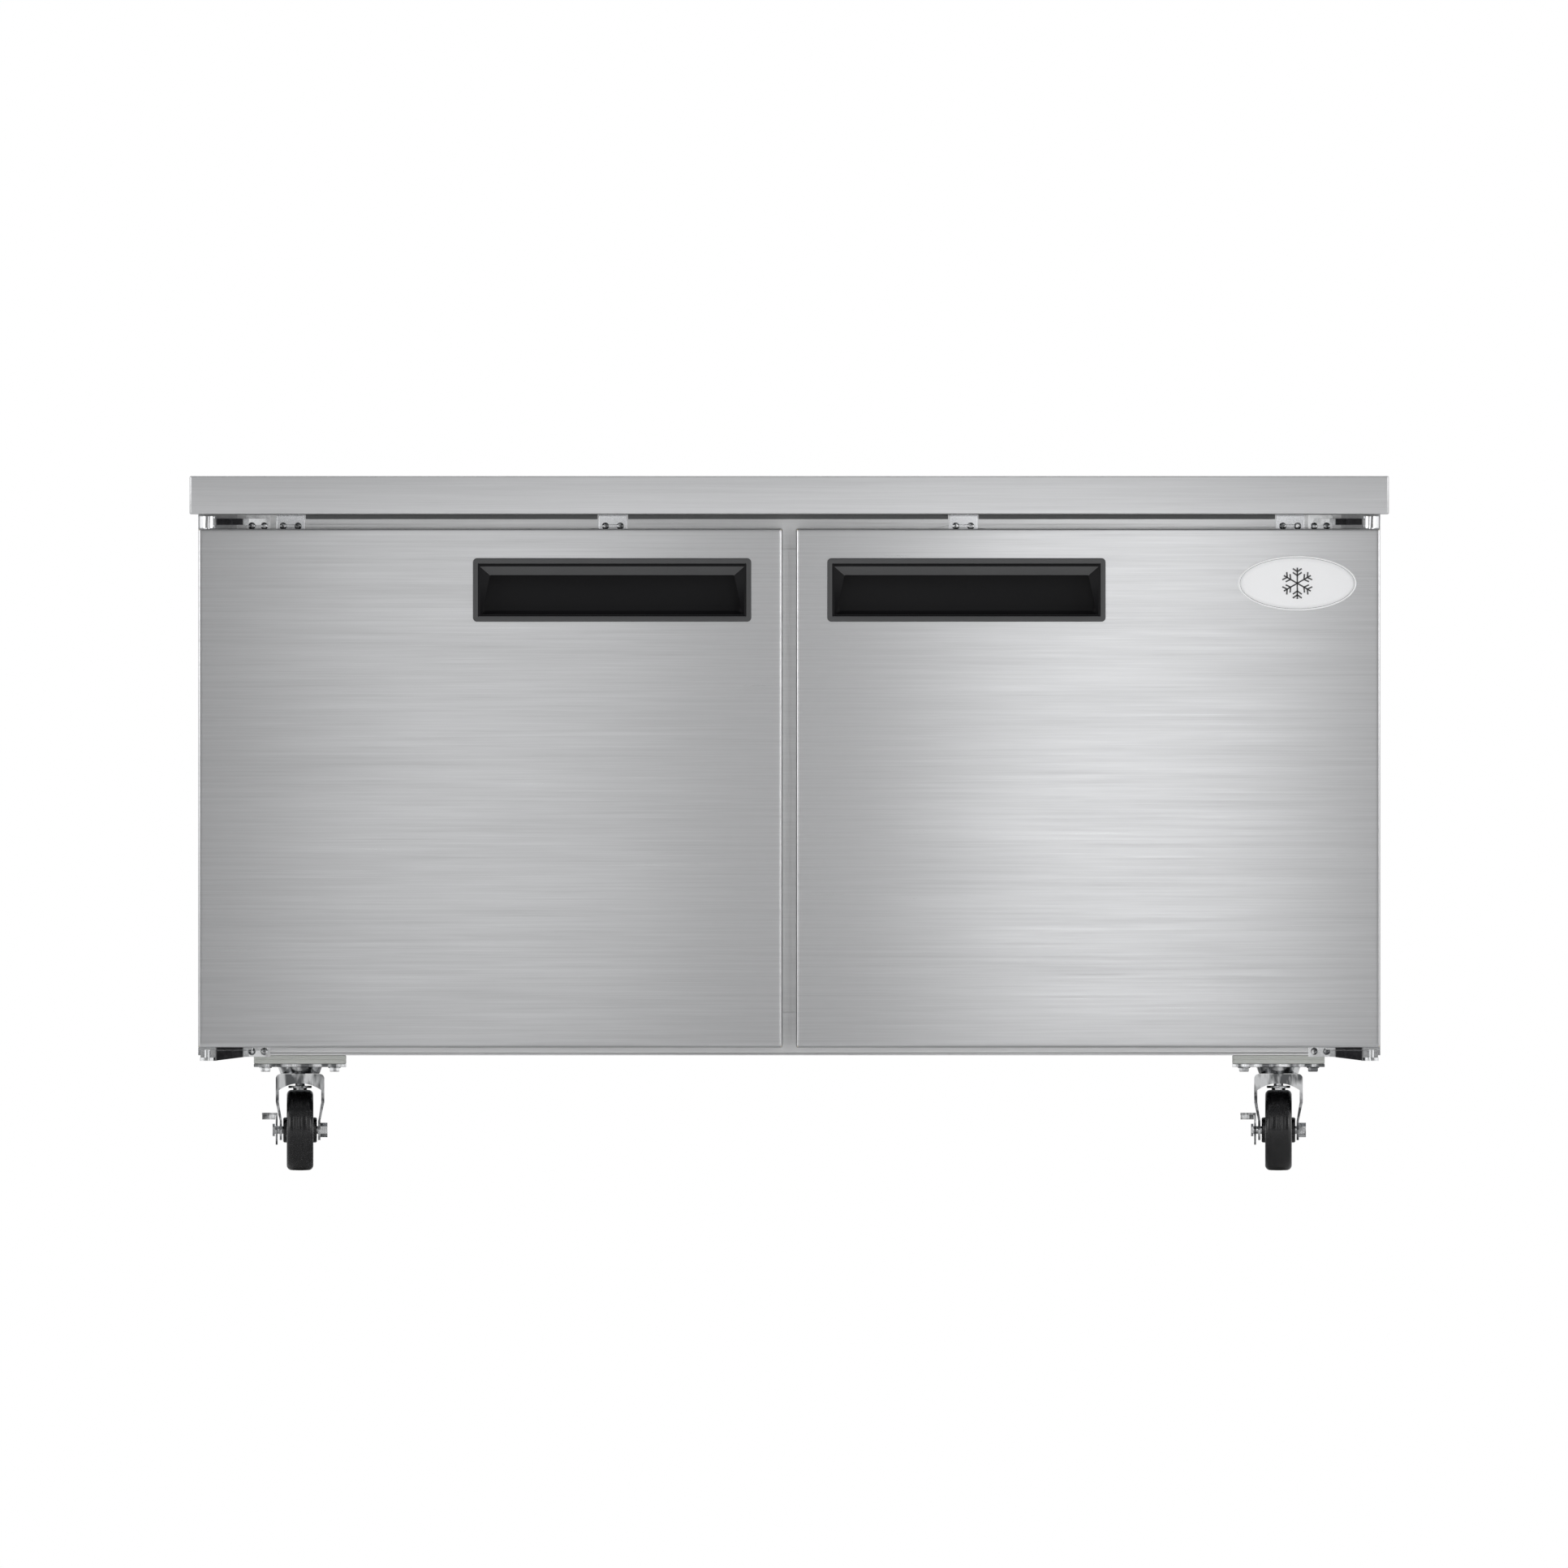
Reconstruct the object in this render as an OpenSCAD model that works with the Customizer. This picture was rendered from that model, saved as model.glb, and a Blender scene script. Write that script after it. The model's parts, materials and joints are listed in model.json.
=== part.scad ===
// Two-door under counter refrigerator on four swivel casters.
// Front faces -Y, +X is the right-hand side seen from the front, +Z is up.
// The origin is on the floor, under the middle of the worktop. Lengths are in millimetres.

/* [Worktop] */
// Width of the worktop from side to side
worktop_w = 1530; // [1500:5:1560]
// Depth of the worktop from front to back
worktop_d = 760; // [750:5:800]
// Height of the working surface above the floor
overall_h = 886; // [880:1:900]
// Height of the folded edge of the worktop
worktop_edge_h = 49; // [40:1:60]
// Thickness of the worktop sheet
worktop_sheet = 1.2; // [1:0.1:2]

/* [Cabinet] */
// Width of the cabinet over its side panels
cabinet_w = 1508; // [1490:2:1516]
// Height of the underside of the cabinet above the floor
cabinet_z = 147; // [147:1:150]
// Thickness of the insulated walls
wall_t = 50; // [46:1:54]
// Thickness of the cabinet sheets
sheet = 1; // [0.8:0.1:1.2]
// Width of the centre post
mullion_w = 64; // [60:1:72]
// Depth of the centre post and of the front rails
frame_depth = 50; // [46:1:56]
// Height of the joint between the post's cover strip and the top rail
cover_top_z = 793; // [790:1:800]
// Height of the rear compartment for the refrigeration unit, walls included
step_h = 320; // [310:1:330]
// Depth of the rear compartment for the refrigeration unit, walls included
step_d = 280; // [270:1:290]

/* [Doors] */
// Width of the gap between the two doors
door_gap = 18; // [14:1:22]
// Gap between the top of a door and the worktop
door_top_gap = 18.5; // [18:0.5:20]
// Height of the bottom of a door above the cabinet's underside
door_bottom_rise = 10; // [10:0.5:11]
// Thickness of a door without its gasket
door_t = 44; // [42:1:46]
// Diameter of the hinge pins
hinge_pin_d = 8; // [6:0.5:9]
// Distance of the hinge pins from the outer edge of a door
hinge_inset = 12; // [11:0.5:13]

/* [Handles and badge] */
// Width of a handle over its rim
handle_w = 355; // [330:1:370]
// Height of a handle over its rim
handle_h = 81; // [76:1:84]
// Distance of the middle of a handle from the middle of the fridge
handle_x = 226; // [220:1:240]
// Depth of the finger pocket behind the face of the door
handle_pocket_d = 30; // [26:1:32]
// Width of the oval badge
badge_w = 151; // [120:1:160]
// Height of the oval badge
badge_h = 70; // [50:1:72]

/* [Casters] */
// Diameter of the wheels
wheel_d = 103.4; // [101:0.2:103.6]
// Width of the tyres
tyre_w = 34; // [32:1:35]
// Distance of the swivel axes from the middle of the fridge
caster_x = 624; // [600:1:640]
// Distance of the swivel axes from the front and back edges of the worktop
caster_inset_y = 130; // [125:1:150]
// Distance of each axle behind its swivel axis
caster_trail = 30; // [26:1:32]

/* [Hidden] */
$fn = 64;

// Colours
steel = "#b9bbbd";
bright = "#d8dadc";
black = "#1d1e20";
plastic_white = "#e6e8e8";
foam_tan = "#d9c58c";
pad_green = "#b5bab2";
copper = "#b8714a";

// Main planes of the cabinet
worktop_z = overall_h - worktop_edge_h;
front_edge_y = -worktop_d / 2;
door_face_y = front_edge_y + 6;
door_back_y = door_face_y + door_t;
gasket_t = 7.7;
gasket_clear = 0.3;
cabinet_front_y = door_back_y + gasket_t + gasket_clear;
cabinet_back_y = worktop_d / 2 - 8;
cabinet_x = cabinet_w / 2;
inner_x = cabinet_x - wall_t;
inner_top_z = worktop_z - wall_t - 2;
inner_floor_z = cabinet_z + wall_t + 5;
inner_back_y = cabinet_back_y - wall_t;
step_wall_t = 38;
step_top_z = cabinet_z + step_h;
step_front_y = cabinet_back_y - step_d;
bay_top_z = step_top_z - step_wall_t;
bay_front_y = step_front_y + step_wall_t;
seam = 0.2;

// Doors
door_top_z = worktop_z - door_top_gap;
door_bottom_z = cabinet_z + door_bottom_rise;
door_outer_x = cabinet_x;
door_inner_x = door_gap / 2;
door_lip = 36;
gasket_w = 18;
gasket_outer_x = door_outer_x - 16;
gasket_inner_x = door_inner_x + 4;
gasket_edge_z = 8;
plug_rise = 12;
plug_gap = 5;
hinge_x = door_outer_x - hinge_inset;
hinge_y = door_face_y + 24;
pin_clear = 0.05;
socket_d = 14;
socket_h = 18;
hinge_plate_t = 3;

// Handles
handle_z = door_top_z - 78;
handle_rim = 2.5;
handle_wall = 2.5;
handle_border = 7;
handle_lip_h = 14.5;
handle_lip_slant = 14;
tray_w = handle_w - 16;
tray_h = handle_h - 8;
badge_x = 648;
badge_z = door_top_z - 69.5;

// Brackets, screws and hinges
bracket_xs = [-636, -225, 222, 639];
bracket_w = 36;
bracket_t = 1.5;
bracket_foot_z = door_top_z - 7;
screw_head_d = 9;
screw_head_h = 2.4;
screw_shank_d = 4;
screw_shank_l = 10;
bracket_screw_dx = 9.5;
bracket_screw_z = door_top_z + 3.5;
knuckle_d = 20;
hinge_plate_x = 662;
hinge_plate_w = 31;
hinge_arm_t = 8;

// Shelves
standard_w = 16;
standard_t = 5;
standard_front_y = -240;
standard_back_y = 265;
standard_mid_x = 22;
shelf_zs = [step_top_z + 13, step_top_z + 145];
shelf_wire_d = 4;
shelf_rim_d = 7;
shelf_pitch = 34;
shelf_outer_x = inner_x - standard_t - 3;
shelf_inner_x = 9;
shelf_front_y = cabinet_front_y + frame_depth + 14;
shelf_back_y = inner_back_y - 14;
clip_h = 9;

// Refrigeration
evap_w = 560;
evap_d = 150;
evap_h = 148;
evap_back_y = inner_back_y - sheet;
evap_front_y = evap_back_y - evap_d;
evap_top_z = inner_top_z - sheet;
evap_z = evap_top_z - evap_h / 2;
evap_fan_x = -140;
evap_fan_r = 55;
cond_x = -330;
cond_w = 300;
cond_z = cabinet_z + 135;
cond_fan_r = 95;
compressor_x = 60;
compressor_y = bay_front_y + 120;
compressor_d = 170;
line_d = 10;
line_x = 190;
line_pitch = 26;
line_y = cabinet_back_y - 26;
knob_x = 215;
knob_d = 30;
inlet_x = -712;
inlet_z = cabinet_z + 60;

// Casters
axle_z = wheel_d / 2;
caster_y = worktop_d / 2 - caster_inset_y;
pad_w = 118;
pad_t = 11;
pad_z = cabinet_z - pad_t;
plate_t = 4;
plate_z = pad_z - plate_t;
bolt_offset = 44;
race_d = 56;
race_h = 8.5;
race_z = plate_z - race_h;
fork_z = race_z - 0.3;
crown_d = 62;
crown_h = 12;
washer_t = 3;
washer_gap = 3;
washer_z = fork_z - crown_h - washer_t - washer_gap;
kingpin_d = 12;
leg_gap = 46;
leg_t = 3;
axle_d = 10;
hub_d = 32;
hub_w = 43;
pedal_x = leg_gap / 2 + leg_t + 2.6;
pedal_t = 2.5;

// Places of the four casters: [x side, y side]
FRONT_LEFT = [-1, -1];
FRONT_RIGHT = [1, -1];
REAR_LEFT = [-1, 1];
REAR_RIGHT = [1, 1];
CORNERS = [FRONT_LEFT, FRONT_RIGHT, REAR_LEFT, REAR_RIGHT];

// Flat box between two corners.
module block(low, high) {
  translate(low) cube(high - low);
}

// Child and its mirror image on the other side of the fridge.
module both_sides() {
  children();
  mirror([1, 0, 0]) children();
}

// Cylinder along Y that starts at y = 0.
module rod_y(d, l) {
  rotate([-90, 0, 0]) cylinder(d = d, h = l);
}

// Cylinder along X that starts at x = 0.
module rod_x(d, l) {
  rotate([0, 90, 0]) cylinder(d = d, h = l);
}

// Upright plate with round corners, centred on X and Z, that starts at y = 0.
module round_plate_y(w, h, r, t) {
  translate([-w / 2 + r, 0, -h / 2]) cube([w - 2 * r, t, h]);
  translate([-w / 2, 0, -h / 2 + r]) cube([w, t, h - 2 * r]);
  for (x = [-1, 1], z = [-1, 1])
    translate([x * (w / 2 - r), 0, z * (h / 2 - r)]) rod_y(2 * r, t);
}

// Folded sheet of the worktop, open below and with a lip turned in all round.
module worktop() {
  lip = 14;
  low = [-worktop_w / 2, front_edge_y, worktop_z];
  high = [worktop_w / 2, worktop_d / 2, overall_h];
  wall = worktop_sheet;
  color(steel) difference() {
    block(low, high);
    block(low + [wall, wall, wall], high - [wall, wall, wall]);
    block(low + [lip, lip, -1], high - [lip, lip, worktop_edge_h - 2 * wall]);
  }
}

// Board glued inside the worktop, which makes it stiff and quiet.
module worktop_core() {
  wall = worktop_sheet;
  color(foam_tan) block(
    [-worktop_w / 2 + wall, front_edge_y + wall, worktop_z + wall],
    [worktop_w / 2 - wall, worktop_d / 2 - wall, overall_h - wall]);
}

// Four angle brackets that hold the worktop to the top rail.
module worktop_brackets() {
  leg = 30;
  color(bright) for (x = bracket_xs)
    difference() {
      union() {
        block([x - bracket_w / 2, cabinet_front_y - bracket_t, bracket_foot_z],
          [x + bracket_w / 2, cabinet_front_y, worktop_z]);
        block([x - bracket_w / 2, cabinet_front_y - leg, worktop_z - bracket_t],
          [x + bracket_w / 2, cabinet_front_y, worktop_z]);
      }
      for (dx = [-1, 1])
        translate([x + dx * bracket_screw_dx, cabinet_front_y - bracket_t - 1, bracket_screw_z])
          rod_y(screw_shank_d, bracket_t + 2);
    }
}

// Pan head screw along +Y whose head rests on the plane y = 0.
module pan_screw() {
  recess = 1.2;
  difference() {
    translate([0, -screw_head_h, 0]) rod_y(screw_head_d, screw_head_h);
    translate([-2.4, -screw_head_h - 1, -0.5]) cube([4.8, 1 + recess, 1]);
    translate([-0.5, -screw_head_h - 1, -2.4]) cube([1, 1 + recess, 4.8]);
  }
  rod_y(screw_shank_d, screw_shank_l);
}

// Screws of the worktop brackets and of the hinges.
module frame_screws() {
  plate_mid = hinge_plate_x + hinge_plate_w / 2;
  color(bright) {
    for (x = bracket_xs, dx = [-1, 1])
      translate([x + dx * bracket_screw_dx, cabinet_front_y - bracket_t, bracket_screw_z]) pan_screw();
    both_sides() for (dx = [-1, 1])
      translate([plate_mid + dx * 8, cabinet_front_y - hinge_plate_t, bracket_screw_z]) pan_screw();
    both_sides() for (dx = [-1, 1])
      translate([plate_mid + dx * 8, cabinet_front_y - hinge_plate_t, cabinet_z + 5]) pan_screw();
  }
}

// Holes for the screws of the brackets and hinges, cut from the rails.
module screw_holes() {
  plate_mid = hinge_plate_x + hinge_plate_w / 2;
  for (x = bracket_xs, dx = [-1, 1])
    translate([x + dx * bracket_screw_dx, cabinet_front_y - 1, bracket_screw_z]) rod_y(screw_shank_d, 14);
  both_sides() for (dx = [-1, 1], z = [bracket_screw_z, cabinet_z + 5])
    translate([plate_mid + dx * 8, cabinet_front_y - 1, z]) rod_y(screw_shank_d, 14);
}

// Right side panel: outer sheet with its front and rear folds.
module side_sheet() {
  rear_fold = 14;
  block([cabinet_x - sheet, cabinet_front_y, cabinet_z], [cabinet_x, cabinet_back_y, worktop_z]);
  block([inner_x, cabinet_front_y, cabinet_z], [cabinet_x, cabinet_front_y + sheet, worktop_z]);
  block([cabinet_x - rear_fold, cabinet_back_y - sheet, cabinet_z], [cabinet_x, cabinet_back_y, worktop_z]);
}

module side_panel_left() {
  color(steel) mirror([1, 0, 0]) side_sheet();
}

module side_panel_right() {
  color(steel) side_sheet();
}

// Upper rear sheet, above the opening for the refrigeration unit.
module back_panel() {
  x = cabinet_x - 14;
  color(steel) block([-x, cabinet_back_y - sheet, bay_top_z - 20], [x, cabinet_back_y, worktop_z]);
}

// Sheet that closes the top of the cabinet under the worktop, with a tab beside each end of the rail.
module roof_panel() {
  x = cabinet_x - sheet;
  color(steel) {
    block([-x, cabinet_front_y + frame_depth, worktop_z - sheet], [x, cabinet_back_y - sheet, worktop_z]);
    both_sides() corner_tab(worktop_z - sheet, worktop_z);
  }
}

// Tab that closes the corner between a side panel and the end of a rail.
module corner_tab(z0, z1) {
  block([inner_x, cabinet_front_y + sheet, z0], [cabinet_x - sheet, cabinet_front_y + frame_depth + 1, z1]);
}

// Floor sheet of the cabinet and the two sheets that face the refrigeration bay.
module base_pan() {
  x = cabinet_x - sheet;
  floor_top = cabinet_z + worktop_sheet;
  color(steel) {
    block([-x, cabinet_front_y + frame_depth, cabinet_z], [x, cabinet_back_y - sheet, floor_top]);
    both_sides() corner_tab(cabinet_z, floor_top);
    block([-x, bay_front_y - sheet, floor_top + seam], [x, bay_front_y, bay_top_z]);
    difference() {
      block([-x, bay_front_y + seam, bay_top_z - sheet], [x, cabinet_back_y - sheet, bay_top_z]);
      for (dx = [0, line_pitch])
        translate([line_x + dx, line_y, bay_top_z - 2 * sheet]) cylinder(d = line_d + 2, h = 3 * sheet);
    }
  }
}

// Foam between the outer sheets and the inner liner, in the walls and in the centre post.
module insulation() {
  x = cabinet_x - sheet;
  y0 = cabinet_front_y + frame_depth;
  line_channel = 26;
  post_x = mullion_w / 2 - sheet;
  color(foam_tan) block([-post_x, cabinet_front_y + sheet, inner_floor_z],
    [post_x, y0 - sheet, inner_top_z]);
  color(foam_tan) difference() {
    block([-x, y0, cabinet_z + worktop_sheet], [x, cabinet_back_y - sheet, worktop_z - sheet]);
    block([-inner_x - sheet, y0 - 1, inner_floor_z - sheet],
      [inner_x + sheet, step_front_y + sheet, inner_top_z + sheet]);
    block([-inner_x - sheet, y0, step_top_z - sheet],
      [inner_x + sheet, inner_back_y + sheet, inner_top_z + sheet]);
    block([-cabinet_x, bay_front_y - sheet, 0], [cabinet_x, cabinet_back_y + 1, bay_top_z]);
    block([line_x - line_channel / 2, line_y - line_channel / 2, bay_top_z - 1],
      [line_x + line_channel / 2 + line_pitch, line_y + line_channel / 2, evap_z + 30]);
    block([line_x - line_channel / 2, inner_back_y, evap_z - 20],
      [line_x + line_channel / 2 + line_pitch, line_y, evap_z + 30]);
  }
}

// Sheets of the inner liner: sides, ceiling, back, floor and the two faces of the step.
module inner_liner() {
  y0 = cabinet_front_y + frame_depth;
  side = inner_x - seam;
  color(bright) difference() {
    union() {
      both_sides() difference() {
        block([inner_x, y0, inner_floor_z - sheet],
          [inner_x + sheet, inner_back_y + sheet, inner_top_z + sheet]);
        block([inner_x - 1, step_front_y + sheet, inner_floor_z - 2 * sheet],
          [inner_x + 2 * sheet, inner_back_y + 2 * sheet, step_top_z - sheet]);
      }
      block([-side, y0, inner_top_z], [side, inner_back_y - seam, inner_top_z + sheet]);
      block([-side, inner_back_y, step_top_z + seam], [side, inner_back_y + sheet, inner_top_z + sheet]);
      block([-side, y0, inner_floor_z - sheet], [side, step_front_y - seam, inner_floor_z]);
      block([-side, step_front_y, inner_floor_z - sheet],
        [side, step_front_y + sheet, step_top_z - sheet - seam]);
      block([-side, step_front_y, step_top_z - sheet], [side, inner_back_y + sheet, step_top_z]);
    }
    for (dx = [0, line_pitch])
      translate([line_x + dx, inner_back_y - 1, evap_z]) rod_y(line_d + 2, 3);
  }
}

// Top rail of the front frame, notched for the cover strip of the post.
module top_rail() {
  x = inner_x;
  z0 = inner_top_z;
  y0 = cabinet_front_y;
  y1 = cabinet_front_y + frame_depth;
  color(steel) difference() {
    union() {
      block([-x, y0, z0], [x, y0 + sheet, worktop_z]);
      block([-x, y0, z0], [x, y1, z0 + sheet]);
      block([-x, y0, worktop_z - sheet], [x, y1, worktop_z]);
    }
    block([-mullion_w / 2, y0 - 1, z0 - 1], [mullion_w / 2, y0 + sheet, cover_top_z]);
    screw_holes();
  }
}

// Bottom rail of the front frame.
module bottom_rail() {
  x = inner_x;
  z1 = inner_floor_z;
  y0 = cabinet_front_y;
  y1 = cabinet_front_y + frame_depth;
  color(steel) difference() {
    union() {
      block([-x, y0, cabinet_z], [x, y0 + sheet, z1]);
      block([-x, y0, cabinet_z], [x, y1, cabinet_z + sheet]);
      block([-x, y0, z1 - sheet], [x, y1, z1]);
    }
    screw_holes();
  }
}

// Centre post: a channel that is open at the front.
module mullion() {
  x = mullion_w / 2;
  y0 = cabinet_front_y + sheet;
  y1 = cabinet_front_y + frame_depth;
  color(steel) {
    both_sides() block([x - sheet, y0, inner_floor_z], [x, y1, inner_top_z]);
    block([-x, y1 - sheet, inner_floor_z], [x, y1, inner_top_z]);
  }
}

// Flat strip that closes the centre post at the front.
module mullion_cover() {
  x = mullion_w / 2;
  color(bright) block([-x, cabinet_front_y, inner_floor_z], [x, cabinet_front_y + sheet, cover_top_z]);
}

// Slotted strip that stands on a wall, facing +X, with its foot at z0.
module standard(z0, z1) {
  slot_pitch = 33;
  slots = floor((z1 - z0 - 20) / slot_pitch);
  difference() {
    translate([0, -standard_w / 2, z0]) cube([standard_t, standard_w, z1 - z0]);
    for (i = [0:slots - 1])
      translate([-1, -2, z0 + 14 + i * slot_pitch]) cube([standard_t + 2, 4, 12]);
  }
}

// Slotted strips for the shelf clips, on the side walls, the back wall and the centre post.
module shelf_standards() {
  top = inner_top_z - 8;
  post_back_y = cabinet_front_y + frame_depth;
  color(bright) both_sides() {
    translate([-inner_x, standard_front_y, 0]) standard(inner_floor_z + 10, top);
    translate([-inner_x, standard_back_y, 0]) standard(step_top_z + 4, top);
    translate([-standard_mid_x, post_back_y, 0]) rotate([0, 0, 90]) standard(step_top_z - 20, top);
    translate([-standard_mid_x, inner_back_y, 0]) rotate([0, 0, -90])
      standard(step_top_z + 4, evap_top_z - evap_h - 6);
  }
}

// Clips that hook into the standards and carry the shelf rims.
module shelf_clips() {
  reach = 12;
  half = 5;
  post_back_y = cabinet_front_y + frame_depth;
  color(bright) both_sides() for (z = shelf_zs) {
    for (y = [standard_front_y, standard_back_y])
      block([-inner_x + standard_t, y - half, z - clip_h], [-inner_x + standard_t + reach, y + half, z]);
    block([-standard_mid_x - half, post_back_y + standard_t, z - clip_h],
      [-standard_mid_x + half, post_back_y + standard_t + reach, z]);
    block([-standard_mid_x - half, inner_back_y - standard_t - reach, z - clip_h],
      [-standard_mid_x + half, inner_back_y - standard_t, z]);
  }
}

// Wire shelf of the left section with its underside at z = 0: a heavy rim, two stays and thin wires.
module wire_shelf() {
  x0 = -shelf_outer_x + shelf_rim_d / 2;
  x1 = -shelf_inner_x - shelf_rim_d / 2;
  y0 = shelf_front_y + shelf_rim_d / 2;
  y1 = shelf_back_y - shelf_rim_d / 2;
  rim_z = shelf_rim_d / 2;
  wire_z = shelf_rim_d + shelf_wire_d / 2 - 1.2;
  wires = floor((x1 - x0) / shelf_pitch);
  wire_gap = (x1 - x0) / wires;
  for (y = [y0, (2 * y0 + y1) / 3, (y0 + 2 * y1) / 3, y1])
    translate([x0, y, rim_z]) rod_x(shelf_rim_d, x1 - x0);
  for (x = [x0, x1])
    translate([x, y0, rim_z]) rod_y(shelf_rim_d, y1 - y0);
  for (x = [x0, x1], y = [y0, y1])
    translate([x, y, rim_z]) sphere(d = shelf_rim_d);
  for (i = [1:wires - 1])
    translate([x0 + i * wire_gap, y0, wire_z]) rod_y(shelf_wire_d, y1 - y0);
}

// Two shelves in each section.
module wire_shelves() {
  color(bright) for (z = shelf_zs)
    both_sides() translate([0, 0, z]) wire_shelf();
}

// Housing over the evaporator, hung under the ceiling against the back wall.
module evaporator_cover() {
  x = evap_w / 2;
  z0 = evap_top_z - evap_h;
  wall = 2;
  color(plastic_white) difference() {
    block([-x, evap_front_y, z0], [x, evap_back_y, evap_top_z]);
    block([-x + wall, evap_front_y + wall, z0 + wall], [x - wall, evap_back_y + 1, evap_top_z + 1]);
    translate([evap_fan_x, evap_front_y - 1, evap_z]) rod_y(2 * evap_fan_r + 8, wall + 2);
    for (i = [0:9])
      block([60 + i * 12, evap_front_y - 1, evap_z - 40],
        [65 + i * 12, evap_front_y + wall + 1, evap_z + 40]);
    for (i = [0:15])
      block([-200 + i * 26, evap_front_y + 40, z0 - 1], [-188 + i * 26, evap_back_y - 30, z0 + wall + 1]);
  }
}

// Finned coil: upright fins with a header at each end.
module finned_coil(w, d, h, pitch, fin) {
  count = floor((w - 20) / pitch);
  block([-w / 2, 0, 0], [-w / 2 + 6, d, h]);
  block([w / 2 - 6, 0, 0], [w / 2, d, h]);
  for (z = [h * 0.2, h * 0.5, h * 0.8])
    translate([-w / 2, d / 2, z]) rod_x(line_d, w);
  for (i = [0:count])
    block([-count * pitch / 2 + i * pitch, 0, 2], [-count * pitch / 2 + i * pitch + fin, d, h - 2]);
}

// Coil that cools the air inside the cabinet.
module evaporator_coil() {
  color(bright) translate([0, evap_back_y - 62, evap_z - 55]) finned_coil(500, 50, 110, 12, 1.2);
}

// Motors of the two fans, each with its shaft towards the fan and a bracket strap.
module fan_motors() {
  color(black) {
    translate([evap_fan_x, evap_front_y + 36, evap_z]) rod_y(44, 44);
    translate([evap_fan_x, evap_front_y + 10, evap_z]) rod_y(6, 27);
    block([evap_fan_x - 78, evap_front_y + 60, evap_z - 6], [evap_fan_x + 78, evap_front_y + 63, evap_z + 6]);
    both_motor_feet();
    translate([cond_x, bay_front_y + 60, cond_z]) rod_y(70, 56);
    translate([cond_x, bay_front_y + 115, cond_z]) rod_y(8, 32);
    block([cond_x - 30, bay_front_y + 70, cabinet_z + worktop_sheet],
      [cond_x + 30, bay_front_y + 106, cond_z - 28]);
  }
}

// Feet that carry the evaporator fan's strap from the cover's front wall.
module both_motor_feet() {
  for (side = [-1, 1])
    translate([evap_fan_x + side * 76, 0, 0])
      block([-2, evap_front_y + 2, evap_z - 6], [2, evap_front_y + 61, evap_z + 6]);
}

// Hermetic compressor: round shell with a seam flange, domed ends, feet and a terminal box.
module compressor() {
  r = compressor_d / 2;
  z0 = cabinet_z + worktop_sheet;
  shell_z = z0 + 22;
  shell_h = 150;
  color(black) translate([compressor_x, compressor_y, 0]) {
    translate([0, 0, shell_z]) cylinder(r = r - 6, h = shell_h);
    translate([0, 0, shell_z + shell_h * 0.55]) cylinder(r = r, h = 7);
    translate([0, 0, shell_z + shell_h]) cylinder(r1 = r - 6, r2 = r - 34, h = 22);
    for (x = [-1, 1], y = [-1, 1])
      translate([x * 66, y * 66, z0]) cylinder(d = 26, h = 22);
    translate([-88, -88, z0 + 18]) cube([176, 176, 6]);
    translate([r - 12, -24, shell_z + 40]) cube([30, 48, 60]);
  }
}

// Coil that gives off the heat, just inside the rear grille.
module condenser_coil() {
  color(copper) translate([cond_x, cabinet_back_y - 64, cond_z - 105]) finned_coil(cond_w, 44, 210, 12, 1.2);
}

// Square shroud with a round throat that guides the air through the condenser.
module fan_shroud() {
  half = 108;
  depth = 42;
  wall = 2;
  y1 = cabinet_back_y - 65;
  color(steel) difference() {
    translate([cond_x, y1, cond_z]) block([-half, -depth, -half], [half, 0, half]);
    translate([cond_x, y1, cond_z]) block([-half + wall, -depth + wall, -half + wall],
      [half - wall, 1, half - wall]);
    translate([cond_x, y1 - depth - 1, cond_z]) rod_y(2 * cond_fan_r + 8, wall + 2);
  }
}

// Quarter bend of a tube in the plane of X and Y, from +X towards +Y, with bend radius r.
module elbow(r) {
  rotate_extrude(angle = 90) translate([r, 0]) circle(d = line_d);
}

// Discharge, liquid and suction lines with the filter drier.
module refrigerant_lines() {
  bend = 20;
  run_z = cabinet_z + 60;
  discharge_x0 = cond_x + cond_w / 2;
  tap = [-51, 66];
  discharge_x1 = compressor_x + tap[0];
  discharge_y = compressor_y + tap[1];
  riser_z0 = cabinet_z + 200;
  drier_d = 26;
  color(copper) {
    translate([discharge_x0, discharge_y, run_z + 40]) rod_x(line_d, discharge_x1 - discharge_x0);
    for (dx = [0, line_pitch]) {
      translate([line_x + dx, line_y, riser_z0]) cylinder(d = line_d, h = evap_z - bend - riser_z0);
      translate([line_x + dx, line_y - bend, evap_z - bend]) rotate([90, 0, 90]) elbow(bend);
      translate([line_x + dx, evap_back_y - 10, evap_z]) rod_y(line_d, line_y - bend - evap_back_y + 10);
    }
    translate([line_x + line_pitch, line_y, riser_z0 - 90]) cylinder(d = drier_d, h = 92);
  }
}

// Shallow pan that takes the defrost water.
module drain_pan() {
  z0 = cabinet_z + worktop_sheet;
  low = [340, bay_front_y + 40, z0];
  high = [640, cabinet_back_y - 50, z0 + 34];
  wall = 2;
  color(plastic_white) difference() {
    block(low, high);
    block(low + [wall, wall, wall], high + [-wall, -wall, 1]);
  }
}

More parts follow.
